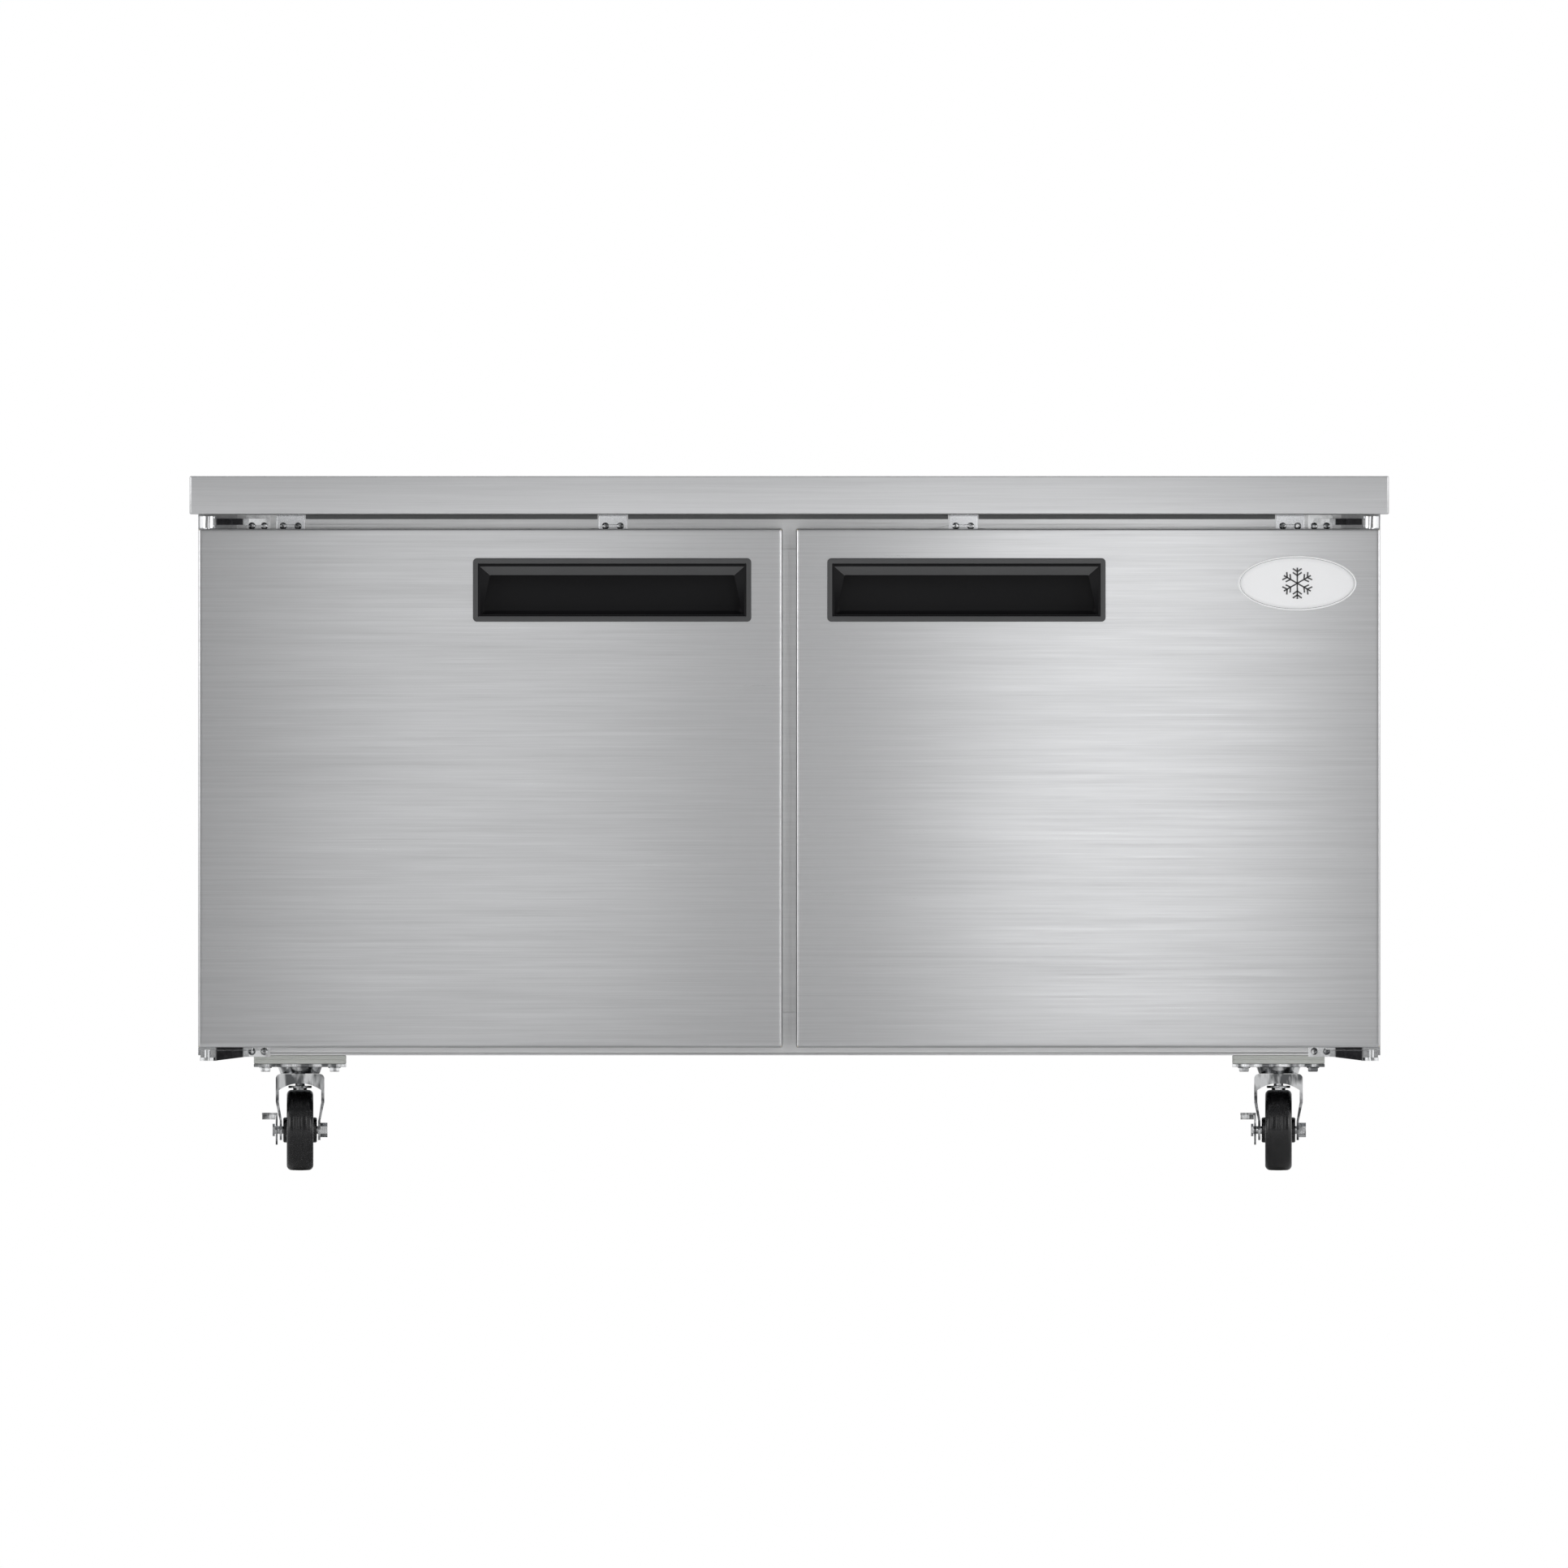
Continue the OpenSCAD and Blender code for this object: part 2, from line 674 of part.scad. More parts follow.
// Louvred sheet over the opening of the refrigeration bay.
module rear_grille() {
  x = cabinet_x - 14;
  z0 = cabinet_z + worktop_sheet;
  z1 = bay_top_z - 20 - seam;
  slot_w = 86;
  slot_h = 7;
  color(steel) difference() {
    block([-x, cabinet_back_y - sheet, z0], [x, cabinet_back_y, z1]);
    for (col = [-6:5], row = [0:6])
      translate([col * 110 + 12, cabinet_back_y - sheet - 1, z0 + 36 + row * 28])
        cube([slot_w, sheet + 2, slot_h]);
    translate([inlet_x, cabinet_back_y - sheet - 1, inlet_z]) rod_y(17.2, sheet + 2);
  }
}

// Control housing on the front of the evaporator cover.
module thermostat_box() {
  low = [knob_x - 42, evap_front_y - 26, evap_z - 34];
  high = [knob_x + 42, evap_front_y, evap_z + 34];
  color(plastic_white) difference() {
    block(low, high);
    translate([knob_x, low[1] - 1, evap_z]) rod_y(6 + 2 * pin_clear, 15);
  }
}

// Gland that the supply cord comes out of, with its nuts on both faces of the grille.
module power_inlet() {
  bore = 9;
  color(black) translate([inlet_x, cabinet_back_y, inlet_z]) difference() {
    union() {
      translate([0, -sheet - 12, 0]) rod_y(17, sheet + 18);
      translate([0, -sheet - 6, 0]) rotate([-90, 0, 0]) cylinder(d = 26, h = 6, $fn = 6);
      rotate([-90, 0, 0]) cylinder(d = 26, h = 5, $fn = 6);
    }
    translate([0, -sheet - 13, 0]) rod_y(bore, sheet + 20);
  }
}

// Hinge of the right door in plan, seen with the plate on y = 0 and the pin at [0, 0].
module hinge_arm_outline(reach_y) {
  plate_x0 = hinge_plate_x - hinge_x;
  plate_x1 = plate_x0 + hinge_plate_w;
  polygon([[plate_x0 + 6, reach_y - 1], [plate_x1, reach_y - 1], [plate_x1 + 26, 7],
    [0, 7], [0, -7], [plate_x1 + 18, -7], [plate_x1 - 4, reach_y - 12], [plate_x0 + 6, reach_y - 8]]);
}

// Right top hinge: plate on the frame, arm, knuckle and the pin that goes down into the door.
module top_hinge() {
  reach_y = cabinet_front_y - hinge_y;
  arm_z = door_top_z + 5;
  plate_low = [hinge_plate_x, cabinet_front_y - hinge_plate_t, door_top_z - 4];
  plate_high = [hinge_plate_x + hinge_plate_w, cabinet_front_y, worktop_z - 0.5];
  difference() {
    union() {
      block(plate_low, plate_high);
      translate([hinge_x, hinge_y, arm_z]) linear_extrude(hinge_arm_t) hinge_arm_outline(reach_y);
      translate([hinge_x, hinge_y, door_top_z + 1]) cylinder(d = knuckle_d, h = 15);
      translate([hinge_x, hinge_y, door_top_z - socket_h + 2]) cylinder(d = hinge_pin_d, h = socket_h);
    }
    hinge_screw_holes(bracket_screw_z);
  }
}

// Right bottom hinge: plate on the frame, tapered arm, stirrup and the pin that goes up into the door.
module bottom_hinge() {
  reach_y = cabinet_front_y - hinge_y;
  low_z = cabinet_z - 7;
  high_z = door_bottom_z - hinge_plate_t - 0.5;
  stirrup_t = 4;
  plate_foot_z = cabinet_z - 2;
  plate_low = [hinge_plate_x, cabinet_front_y - hinge_plate_t, plate_foot_z];
  plate_high = [hinge_plate_x + hinge_plate_w, cabinet_front_y, cabinet_z + 11.5];
  arm_x = hinge_plate_x - hinge_x;
  difference() {
    union() {
      block(plate_low, plate_high);
      translate([hinge_x, hinge_y, 0]) intersection() {
        translate([0, 0, low_z]) linear_extrude(high_z - low_z) hinge_arm_outline(reach_y);
        translate([0, 40, 0]) rotate([90, 0, 0]) linear_extrude(80)
          polygon([[arm_x, plate_foot_z], [arm_x + hinge_plate_w, plate_foot_z], [-10, low_z],
            [-10, high_z - 1], [arm_x + hinge_plate_w, cabinet_z + 6], [arm_x, cabinet_z + 6]]);
      }
      translate([hinge_x, hinge_y, low_z]) cylinder(d = knuckle_d, h = stirrup_t);
      block([hinge_x - 12, hinge_y + 5, low_z], [hinge_x + 9, hinge_y + 9, high_z]);
      translate([hinge_x, hinge_y, low_z]) cylinder(d = hinge_pin_d, h = socket_h + 12);
    }
    hinge_screw_holes(cabinet_z + 5);
  }
}

// Clearance for the screws and their heads in a hinge plate and arm.
module hinge_screw_holes(z) {
  plate_mid = hinge_plate_x + hinge_plate_w / 2;
  for (dx = [-1, 1])
    translate([plate_mid + dx * 8, 0, z]) {
      translate([0, cabinet_front_y - hinge_plate_t - 1, 0]) rod_y(screw_shank_d, hinge_plate_t + 2);
      translate([0, cabinet_front_y - hinge_plate_t - 12, 0]) rod_y(screw_head_d + 1, 12);
    }
}

module top_hinges() {
  color(bright) both_sides() top_hinge();
}

module bottom_hinges() {
  color(bright) both_sides() bottom_hinge();
}

// Right door: opening of the tray of the handle, cut through the skin and the foam.
module handle_cutout() {
  translate([handle_x - tray_w / 2, door_face_y - 1, handle_z - tray_h / 2])
    cube([tray_w, handle_pocket_d + handle_wall + 1, tray_h]);
}

// Right door: folded skin with returned edges, back lips and two hinge sockets.
module door_skin() {
  low = [door_inner_x, door_face_y, door_bottom_z];
  high = [door_outer_x, door_back_y, door_top_z];
  pad = [sheet, sheet, sheet];
  lip = [door_lip, 0, door_lip];
  color(steel) difference() {
    union() {
      difference() {
        block(low, high);
        block(low + pad, high - pad);
        block([low[0], door_back_y - 2, low[2]] + lip, [high[0], door_back_y + 1, high[2]] - lip);
      }
      translate([hinge_x, hinge_y, door_top_z - socket_h - 2]) cylinder(d = socket_d, h = socket_h + 2);
      translate([hinge_x, hinge_y, door_bottom_z]) cylinder(d = socket_d, h = socket_h + 2);
    }
    handle_cutout();
    translate([hinge_x, hinge_y, door_top_z - socket_h]) cylinder(d = hinge_pin_d + 2 * pin_clear, h = 30);
    translate([hinge_x, hinge_y, door_bottom_z - 1])
      cylinder(d = hinge_pin_d + 2 * pin_clear, h = socket_h + 1);
  }
}

// Right door: pressed inner panel with a raised centre.
module door_liner() {
  low = [door_inner_x + sheet, door_back_y - 2 * sheet, door_bottom_z + sheet];
  high = [door_outer_x - sheet, door_back_y - sheet, door_top_z - sheet];
  plug_low = [door_inner_x + door_lip + plug_gap, door_back_y - sheet, inner_floor_z + plug_gap];
  plug_high = [inner_x - plug_gap, door_back_y + plug_rise, inner_top_z - plug_gap];
  recess = [sheet, sheet, sheet];
  color(bright) difference() {
    union() {
      block(low, high);
      block(plug_low, plug_high);
    }
    block([plug_low[0] + sheet, low[1] - 1, plug_low[2] + sheet], plug_high - recess);
    hinge_socket_clearance();
  }
}

// Room for the hinge sockets in the parts behind the skin.
module hinge_socket_clearance() {
  for (z = [door_bottom_z - 1, door_top_z - socket_h - 3])
    translate([hinge_x, hinge_y, z]) cylinder(d = socket_d, h = socket_h + 4);
}

// Right door: foam between the skin and the inner panel.
module door_foam() {
  low = [door_inner_x + sheet, door_face_y + sheet, door_bottom_z + sheet];
  high = [door_outer_x - sheet, door_back_y - 2 * sheet, door_top_z - sheet];
  plug_low = [door_inner_x + door_lip + plug_gap + sheet, door_back_y - 3, inner_floor_z + plug_gap + sheet];
  plug_high = [inner_x - plug_gap - sheet, door_back_y + plug_rise - sheet, inner_top_z - plug_gap - sheet];
  color(foam_tan) difference() {
    union() {
      block(low, high);
      block(plug_low, plug_high);
    }
    handle_cutout();
    hinge_socket_clearance();
  }
}

// Right door: soft magnetic seal that meets the front frame.
module door_gasket() {
  low = [gasket_inner_x, door_back_y, door_bottom_z + gasket_edge_z];
  high = [gasket_outer_x, door_back_y + gasket_t, door_top_z - gasket_edge_z];
  ring = [gasket_w, 0, gasket_w];
  color("#8d9092") difference() {
    block(low, high);
    block(low + ring - [0, 1, 0], high - ring + [0, 1, 0]);
  }
}

// Right door: recessed pull with a rim, a tray, and a lip that the fingers hook behind.
module door_handle() {
  half = handle_w / 2 - handle_border;
  open_z0 = -handle_h / 2 + handle_border;
  open_z1 = handle_h / 2 - handle_border - handle_lip_h;
  tray_in = tray_w / 2 - handle_wall;
  cavity_z = tray_h / 2 - handle_wall;
  color(black) translate([handle_x, door_face_y, handle_z]) difference() {
    union() {
      translate([0, -handle_rim, 0]) round_plate_y(handle_w, handle_h, 6, handle_rim);
      translate([-tray_w / 2, -0.5, -tray_h / 2]) cube([tray_w, handle_pocket_d + handle_wall + 0.5, tray_h]);
    }
    block([-half, -handle_rim - 1, open_z0], [half, -0.5, -open_z0]);
    block([-tray_in, 2, -cavity_z], [tray_in, handle_pocket_d, cavity_z]);
    translate([0, 3, 0]) rotate([90, 0, 0]) linear_extrude(handle_rim + 4)
      polygon([[-half + 4, open_z0 + 1], [half - 4, open_z0 + 1],
        [half - handle_lip_slant, open_z1], [-half + handle_lip_slant, open_z1]]);
  }
}

// Right door: plate fixed under the door around the lower hinge pin.
module door_hinge_plate() {
  z0 = door_bottom_z - hinge_plate_t;
  color(bright) difference() {
    block([door_outer_x - 70, door_face_y + 8, z0], [door_outer_x, door_back_y - 4, door_bottom_z]);
    translate([hinge_x, hinge_y, z0 - 1]) cylinder(d = hinge_pin_d + 2 * pin_clear, h = hinge_plate_t + 2);
  }
}

module door_left_skin() { mirror([1, 0, 0]) door_skin(); }
module door_left_foam() { mirror([1, 0, 0]) door_foam(); }
module door_left_liner() { mirror([1, 0, 0]) door_liner(); }
module door_left_gasket() { mirror([1, 0, 0]) door_gasket(); }
module door_left_handle() { mirror([1, 0, 0]) door_handle(); }
module door_left_hinge_plate() { mirror([1, 0, 0]) door_hinge_plate(); }
module door_right_skin() { door_skin(); }
module door_right_foam() { door_foam(); }
module door_right_liner() { door_liner(); }
module door_right_gasket() { door_gasket(); }
module door_right_handle() { door_handle(); }
module door_right_hinge_plate() { door_hinge_plate(); }

// Plain oval plate with a raised centre.
module oval_plate(w, h, t) {
  rotate([90, 0, 0]) linear_extrude(t)
    polygon([for (a = [0:5:355]) [w / 2 * cos(a), h / 2 * sin(a)]]);
}

module badge() {
  color(plastic_white) translate([badge_x, door_face_y, badge_z]) {
    oval_plate(badge_w, badge_h, 2);
    oval_plate(badge_w - 8, badge_h - 8, 3.2);
  }
}

// Puts a caster part at one corner, with the swivel axis at the child's origin.
module at_corner(corner) {
  translate([corner[0] * caster_x, corner[1] * caster_y, 0]) children();
}

// Spacer pads between the cabinet floor and the caster plates.
module caster_pads() {
  color(pad_green) for (corner = CORNERS)
    at_corner(corner) difference() {
      block([-pad_w / 2, -pad_w / 2, pad_z], [pad_w / 2, pad_w / 2, cabinet_z]);
      bolt_pattern(pad_z - 1, pad_t + 2, 9);
    }
}

// Round bars at the four bolts of one caster.
module bolt_pattern(z, h, d) {
  for (x = [-1, 1], y = [-1, 1])
    translate([x * bolt_offset, y * bolt_offset, z]) cylinder(d = d, h = h);
}

// Fixed half of each swivel: top plate, raceway and kingpin with its washer.
module caster_plates() {
  color(bright) for (corner = CORNERS)
    at_corner(corner) {
      difference() {
        block([-pad_w / 2, -pad_w / 2, plate_z], [pad_w / 2, pad_w / 2, pad_z]);
        bolt_pattern(plate_z - 1, plate_t + 2, 9);
      }
      translate([0, 0, race_z]) cylinder(d1 = race_d - 6, d2 = race_d, h = race_h);
      translate([0, 0, washer_z - 2]) cylinder(d = kingpin_d, h = race_z - washer_z + 3);
      translate([0, 0, washer_z]) cylinder(d = 30, h = washer_t);
      translate([0, 0, washer_z - 2.4]) cylinder(d = 18, h = 2.6, $fn = 6);
    }
}

// Bolts through the plates and pads, with hexagon heads below and threads up into the floor.
module caster_bolts() {
  head_h = 6;
  color(bright) for (corner = CORNERS)
    at_corner(corner) {
      for (x = [-1, 1], y = [-1, 1])
        translate([x * bolt_offset, y * bolt_offset, plate_z - head_h])
          cylinder(d = 15, h = head_h, $fn = 6);
      bolt_pattern(plate_z - 1, plate_t + pad_t + 1, 8.8);
    }
}

// Side outline of the fork: wide under the crown, narrow and round at the axle.
module fork_side() {
  shoulder_z = fork_z - crown_h - 12;
  eye_r = 13;
  polygon([[-crown_d / 2, fork_z], [crown_d / 2, fork_z], [crown_d / 2, shoulder_z],
    [caster_trail + eye_r, axle_z + 8], [caster_trail + eye_r, axle_z], [caster_trail - eye_r, axle_z],
    [-crown_d / 2 + 4, shoulder_z]]);
  translate([caster_trail, axle_z]) circle(r = eye_r);
}

// Front outline of the fork: round shoulders, an arch under the crown and legs that close in below.
module fork_front() {
  x0 = leg_gap / 2;
  x1 = crown_d / 2;
  arch_r = 46;
  arch_x = x1 - leg_t - 1;
  arch_z = fork_z - crown_h;
  bend_z = fork_z - 36;
  foot_z = axle_z - 15;
  difference() {
    union() {
      polygon([[-x1, fork_z - 6], [x1, fork_z - 6], [x1, bend_z], [x0 + leg_t, axle_z + 12],
        [x0 + leg_t, foot_z], [-x0 - leg_t, foot_z], [-x0 - leg_t, axle_z + 12], [-x1, bend_z]]);
      translate([-x1 + 6, fork_z - 7]) square([2 * x1 - 12, 7]);
      for (side = [-1, 1])
        translate([side * (x1 - 6), fork_z - 6]) circle(r = 6);
    }
    intersection() {
      translate([0, arch_z - arch_r]) circle(r = arch_r);
      polygon([[-arch_x, fork_z], [arch_x, fork_z], [arch_x, bend_z], [x0, axle_z + 11],
        [-x0, axle_z + 11], [-arch_x, bend_z]]);
    }
    translate([-x0, foot_z - 1]) square([leg_gap, axle_z + 12.5 - foot_z]);
  }
}

// Swivelling fork with its axle bolt: crown, two legs, axle, bolt head and nut.
module fork() {
  leg_x = leg_gap / 2 + leg_t;
  color(bright) {
    difference() {
      intersection() {
        translate([-crown_d, 0, 0]) rotate([90, 0, 90]) linear_extrude(2 * crown_d) fork_side();
        translate([0, crown_d, 0]) rotate([90, 0, 0]) linear_extrude(2 * crown_d) fork_front();
      }
      translate([0, 0, fork_z - crown_h - 1]) cylinder(d = kingpin_d + 1, h = crown_h + 2);
    }
    translate([-leg_x - 9, caster_trail, axle_z]) rod_x(axle_d, 2 * leg_x + 18);
    translate([leg_x, caster_trail, axle_z]) rotate([0, 90, 0]) cylinder(d = 18.5, h = 9, $fn = 6);
    translate([-leg_x - 9, caster_trail, axle_z]) rotate([0, 90, 0]) cylinder(d = 16, h = 3, $fn = 6);
  }
}

// Wheel with a rounded tyre, web recesses and a hub bored for the axle.
module wheel() {
  r = wheel_d / 2;
  edge = 7;
  color(black) rotate([0, 90, 0]) difference() {
    union() {
      translate([0, 0, -tyre_w / 2 + edge]) cylinder(r = r, h = tyre_w - 2 * edge);
      translate([0, 0, -tyre_w / 2]) cylinder(r = r - edge, h = tyre_w);
      for (side = [-1, 1])
        translate([0, 0, side * (tyre_w / 2 - edge)]) tyre_edge(r - edge, edge);
      translate([0, 0, -hub_w / 2]) cylinder(d = hub_d, h = hub_w);
    }
    for (side = [-1, 1])
      translate([0, 0, side * tyre_w / 2 - 4]) difference() {
        cylinder(r = r - 13, h = 8);
        translate([0, 0, -1]) cylinder(d = hub_d, h = 10);
      }
    translate([0, 0, -hub_w]) cylinder(d = axle_d + 2 * pin_clear, h = 2 * hub_w);
  }
}

// Rounded shoulder of the tyre: a ring of circular section.
module tyre_edge(ring_r, edge) {
  rotate_extrude() translate([ring_r, 0]) circle(r = edge);
}

// Brake pedal: a lever plate that turns on the axle, with a foot tab folded outward at its top.
module pedal() {
  tab_w = 20;
  eye_r = 12;
  color(bright) translate([0, caster_trail, axle_z]) {
    difference() {
      translate([-pedal_x - pedal_t, 0, 0]) rotate([90, 0, 90]) linear_extrude(pedal_t) union() {
        circle(r = eye_r);
        polygon([[-eye_r, 0], [-34, 8], [-34, 22], [-14, 22], [4, eye_r - 1]]);
        polygon([[-8, 0], [8, 0], [14, -17], [6, -19]]);
      }
      translate([-pedal_x - pedal_t - 1, 0, 0]) rod_x(axle_d + 2 * pin_clear, pedal_t + 2);
    }
    translate([-pedal_x - tab_w, -34, 22 - 3]) cube([tab_w, 22, 3]);
  }
}

module caster_front_left_fork() { at_corner(FRONT_LEFT) fork(); }
module caster_front_right_fork() { at_corner(FRONT_RIGHT) fork(); }
module caster_rear_left_fork() { at_corner(REAR_LEFT) fork(); }
module caster_rear_right_fork() { at_corner(REAR_RIGHT) fork(); }
module caster_front_left_wheel() { at_corner(FRONT_LEFT) translate([0, caster_trail, axle_z]) wheel(); }
module caster_front_right_wheel() { at_corner(FRONT_RIGHT) translate([0, caster_trail, axle_z]) wheel(); }
module caster_rear_left_wheel() { at_corner(REAR_LEFT) translate([0, caster_trail, axle_z]) wheel(); }
module caster_rear_right_wheel() { at_corner(REAR_RIGHT) translate([0, caster_trail, axle_z]) wheel(); }
module brake_pedal_left() { at_corner(FRONT_LEFT) pedal(); }
module brake_pedal_right() { at_corner(FRONT_RIGHT) pedal(); }

// Axial fan with pitched blades on a round hub, blowing along Y.
module axial_fan(r, hub_r, depth, bore, blades) {
  difference() {
    union() {
      rod_y(2 * hub_r, depth);
      for (i = [0:blades - 1])
        rotate([0, i * 360 / blades, 0]) translate([hub_r - 2, depth / 2, 0]) rotate([32, 0, 0])
          translate([0, -0.8, -r * 0.26]) cube([r - hub_r, 1.6, r * 0.52]);
    }
    translate([0, -1, 0]) rod_y(bore, depth + 2);
  }
}

module evaporator_fan() {
  color(black) translate([evap_fan_x, evap_front_y + 12, evap_z]) axial_fan(evap_fan_r, 14, 20, 6.1, 5);
}

module condenser_fan() {
  color(black) translate([cond_x, bay_front_y + 120, cond_z]) axial_fan(cond_fan_r, 24, 24, 8.1, 5);
}

// Knob that sets the temperature, with its spindle in the control housing.
module thermostat_knob() {
  color(black) translate([knob_x, evap_front_y - 26, evap_z]) {
    translate([0, -13.3, 0]) rod_y(knob_d, 13);
    translate([-2, -16.3, -knob_d / 2 + 2]) cube([4, 4, knob_d - 4]);
    translate([0, -1, 0]) rod_y(6, 12);
  }
}

worktop();
worktop_core();
worktop_brackets();
frame_screws();
side_panel_left();
side_panel_right();
back_panel();
roof_panel();
base_pan();
insulation();
inner_liner();
top_rail();
bottom_rail();
mullion();
mullion_cover();
shelf_standards();
shelf_clips();
wire_shelves();
evaporator_cover();
evaporator_coil();
fan_motors();
compressor();
condenser_coil();
fan_shroud();
refrigerant_lines();
drain_pan();
rear_grille();
thermostat_box();
power_inlet();
top_hinges();
bottom_hinges();
caster_pads();
caster_plates();
caster_bolts();
evaporator_fan();
condenser_fan();
thermostat_knob();
door_left_skin();
door_left_foam();
door_left_liner();
door_left_gasket();
door_left_handle();
door_left_hinge_plate();
door_right_skin();
door_right_foam();
door_right_liner();
door_right_gasket();
door_right_handle();
door_right_hinge_plate();
badge();
caster_front_left_fork();
caster_front_right_fork();
caster_rear_left_fork();
caster_rear_right_fork();
caster_front_left_wheel();
caster_front_right_wheel();
caster_rear_left_wheel();
caster_rear_right_wheel();
brake_pedal_left();
brake_pedal_right();
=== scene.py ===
"""Looks of the two-door under counter fridge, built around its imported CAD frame.

Everything is in metres in the frame's own axes: the front faces -Y and +Z is up.
"""

import json
import math

import bmesh
import bpy
from mathutils import Matrix, Vector


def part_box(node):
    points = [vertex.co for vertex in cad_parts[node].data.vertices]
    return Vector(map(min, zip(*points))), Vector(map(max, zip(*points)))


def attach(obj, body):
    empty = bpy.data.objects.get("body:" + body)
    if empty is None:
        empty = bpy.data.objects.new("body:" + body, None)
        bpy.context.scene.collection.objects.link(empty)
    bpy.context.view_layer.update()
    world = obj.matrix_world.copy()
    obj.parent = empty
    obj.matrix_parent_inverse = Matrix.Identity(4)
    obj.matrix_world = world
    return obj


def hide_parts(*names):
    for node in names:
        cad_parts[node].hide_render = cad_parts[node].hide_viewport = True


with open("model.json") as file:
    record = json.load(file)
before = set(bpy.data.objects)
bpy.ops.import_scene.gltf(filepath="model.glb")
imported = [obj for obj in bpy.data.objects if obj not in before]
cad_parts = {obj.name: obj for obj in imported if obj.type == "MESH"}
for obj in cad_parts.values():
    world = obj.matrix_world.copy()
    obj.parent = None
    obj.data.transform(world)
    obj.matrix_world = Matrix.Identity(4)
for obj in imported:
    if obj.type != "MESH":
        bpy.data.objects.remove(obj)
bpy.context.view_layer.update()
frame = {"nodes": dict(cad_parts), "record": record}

MM = 0.001
SLOTS = {row["node"]: row["material_slot"] for row in frame["record"]["subparts"]}
BODIES = {n: body for body, nodes in frame["record"]["behaviour"]["bodies"].items() for n in nodes}
SIDES = ("left", "right")
CORNERS = ("front_left", "front_right", "rear_left", "rear_right")
CORNER_STEPS = 5

# ---------------------------------------------------------------- materials


def add(tree, kind, **inputs):
    """Adds a node and sets its inputs by name, with underscores for spaces."""
    node = tree.nodes.new(kind)
    for key, value in inputs.items():
        node.inputs[key.replace("_", " ")].default_value = value
    return node


def noise(tree, stretch, detail=4.0, roughness=0.6):
    """Noise in object coordinates with this many features per metre along each axis."""
    where = tree.nodes.new("ShaderNodeTexCoord")
    mapping = add(tree, "ShaderNodeMapping", Scale=stretch)
    texture = add(tree, "ShaderNodeTexNoise", Scale=1.0, Detail=detail, Roughness=roughness)
    tree.links.new(where.outputs["Object"], mapping.inputs["Vector"])
    tree.links.new(mapping.outputs["Vector"], texture.inputs["Vector"])
    return texture.outputs["Fac"]


def cells(tree, size):
    """Distance to the middle of the nearest cell, for cells of this size in metres."""
    where = tree.nodes.new("ShaderNodeTexCoord")
    texture = add(tree, "ShaderNodeTexVoronoi", Scale=1.0 / size)
    tree.links.new(where.outputs["Object"], texture.inputs["Vector"])
    return texture.outputs["Distance"]


def blend(tree, first, second, share):
    """First value times (1 - share) plus the second value times share."""
    mix = tree.nodes.new("ShaderNodeMix")
    mix.inputs["Factor"].default_value = share
    tree.links.new(first, mix.inputs["A"])
    tree.links.new(second, mix.inputs["B"])
    return mix.outputs["Result"]


def remap(tree, value, low, high, start=0.3, end=0.7):
    """Runs from low to high as the value runs from start to end."""
    node = add(tree, "ShaderNodeMapRange")
    for socket, number in zip(("From Min", "From Max", "To Min", "To Max"), (start, end, low, high)):
        node.inputs[socket].default_value = number
    tree.links.new(value, node.inputs["Value"])
    return node.outputs["Result"]


def tint(tree, value, dark, light, start=0.3, end=0.7):
    """Colour that runs from dark to light as the value runs from start to end."""
    ramp = tree.nodes.new("ShaderNodeValToRGB")
    ramp.color_ramp.elements[0].position = start
    ramp.color_ramp.elements[1].position = end
    ramp.color_ramp.elements[0].color = (*dark, 1)
    ramp.color_ramp.elements[1].color = (*light, 1)
    tree.links.new(value, ramp.inputs["Fac"])
    return ramp.outputs["Color"]


def relief(tree, shader, height, depth, strength=0.6):
    """Bump of this depth in metres."""
    node = add(tree, "ShaderNodeBump", Strength=strength, Distance=depth)
    tree.links.new(height, node.inputs["Height"])
    tree.links.new(node.outputs["Normal"], shader.inputs["Normal"])


def position(tree, coordinates, axis):
    """One axis of the texture coordinates."""
    where = tree.nodes.new("ShaderNodeTexCoord")
    split = tree.nodes.new("ShaderNodeSeparateXYZ")
    tree.links.new(where.outputs[coordinates], split.inputs["Vector"])
    return split.outputs[axis]


def calculate(tree, operation, *values):
    """Result of a maths node on one or two values."""
    node = tree.nodes.new("ShaderNodeMath")
    node.operation = operation
    for socket, value in zip(node.inputs, values):
        tree.links.new(value, socket)
    return node.outputs["Value"]


def shaded(colour, factor):
    """Colour made darker or brighter by a factor."""
    return tuple(min(1.0, channel * factor) for channel in colour)


def new_material(name):
    """New material with its node tree and its shader."""
    material = bpy.data.materials.new(name)
    material.use_nodes = True
    return material, material.node_tree, material.node_tree.nodes["Principled BSDF"]


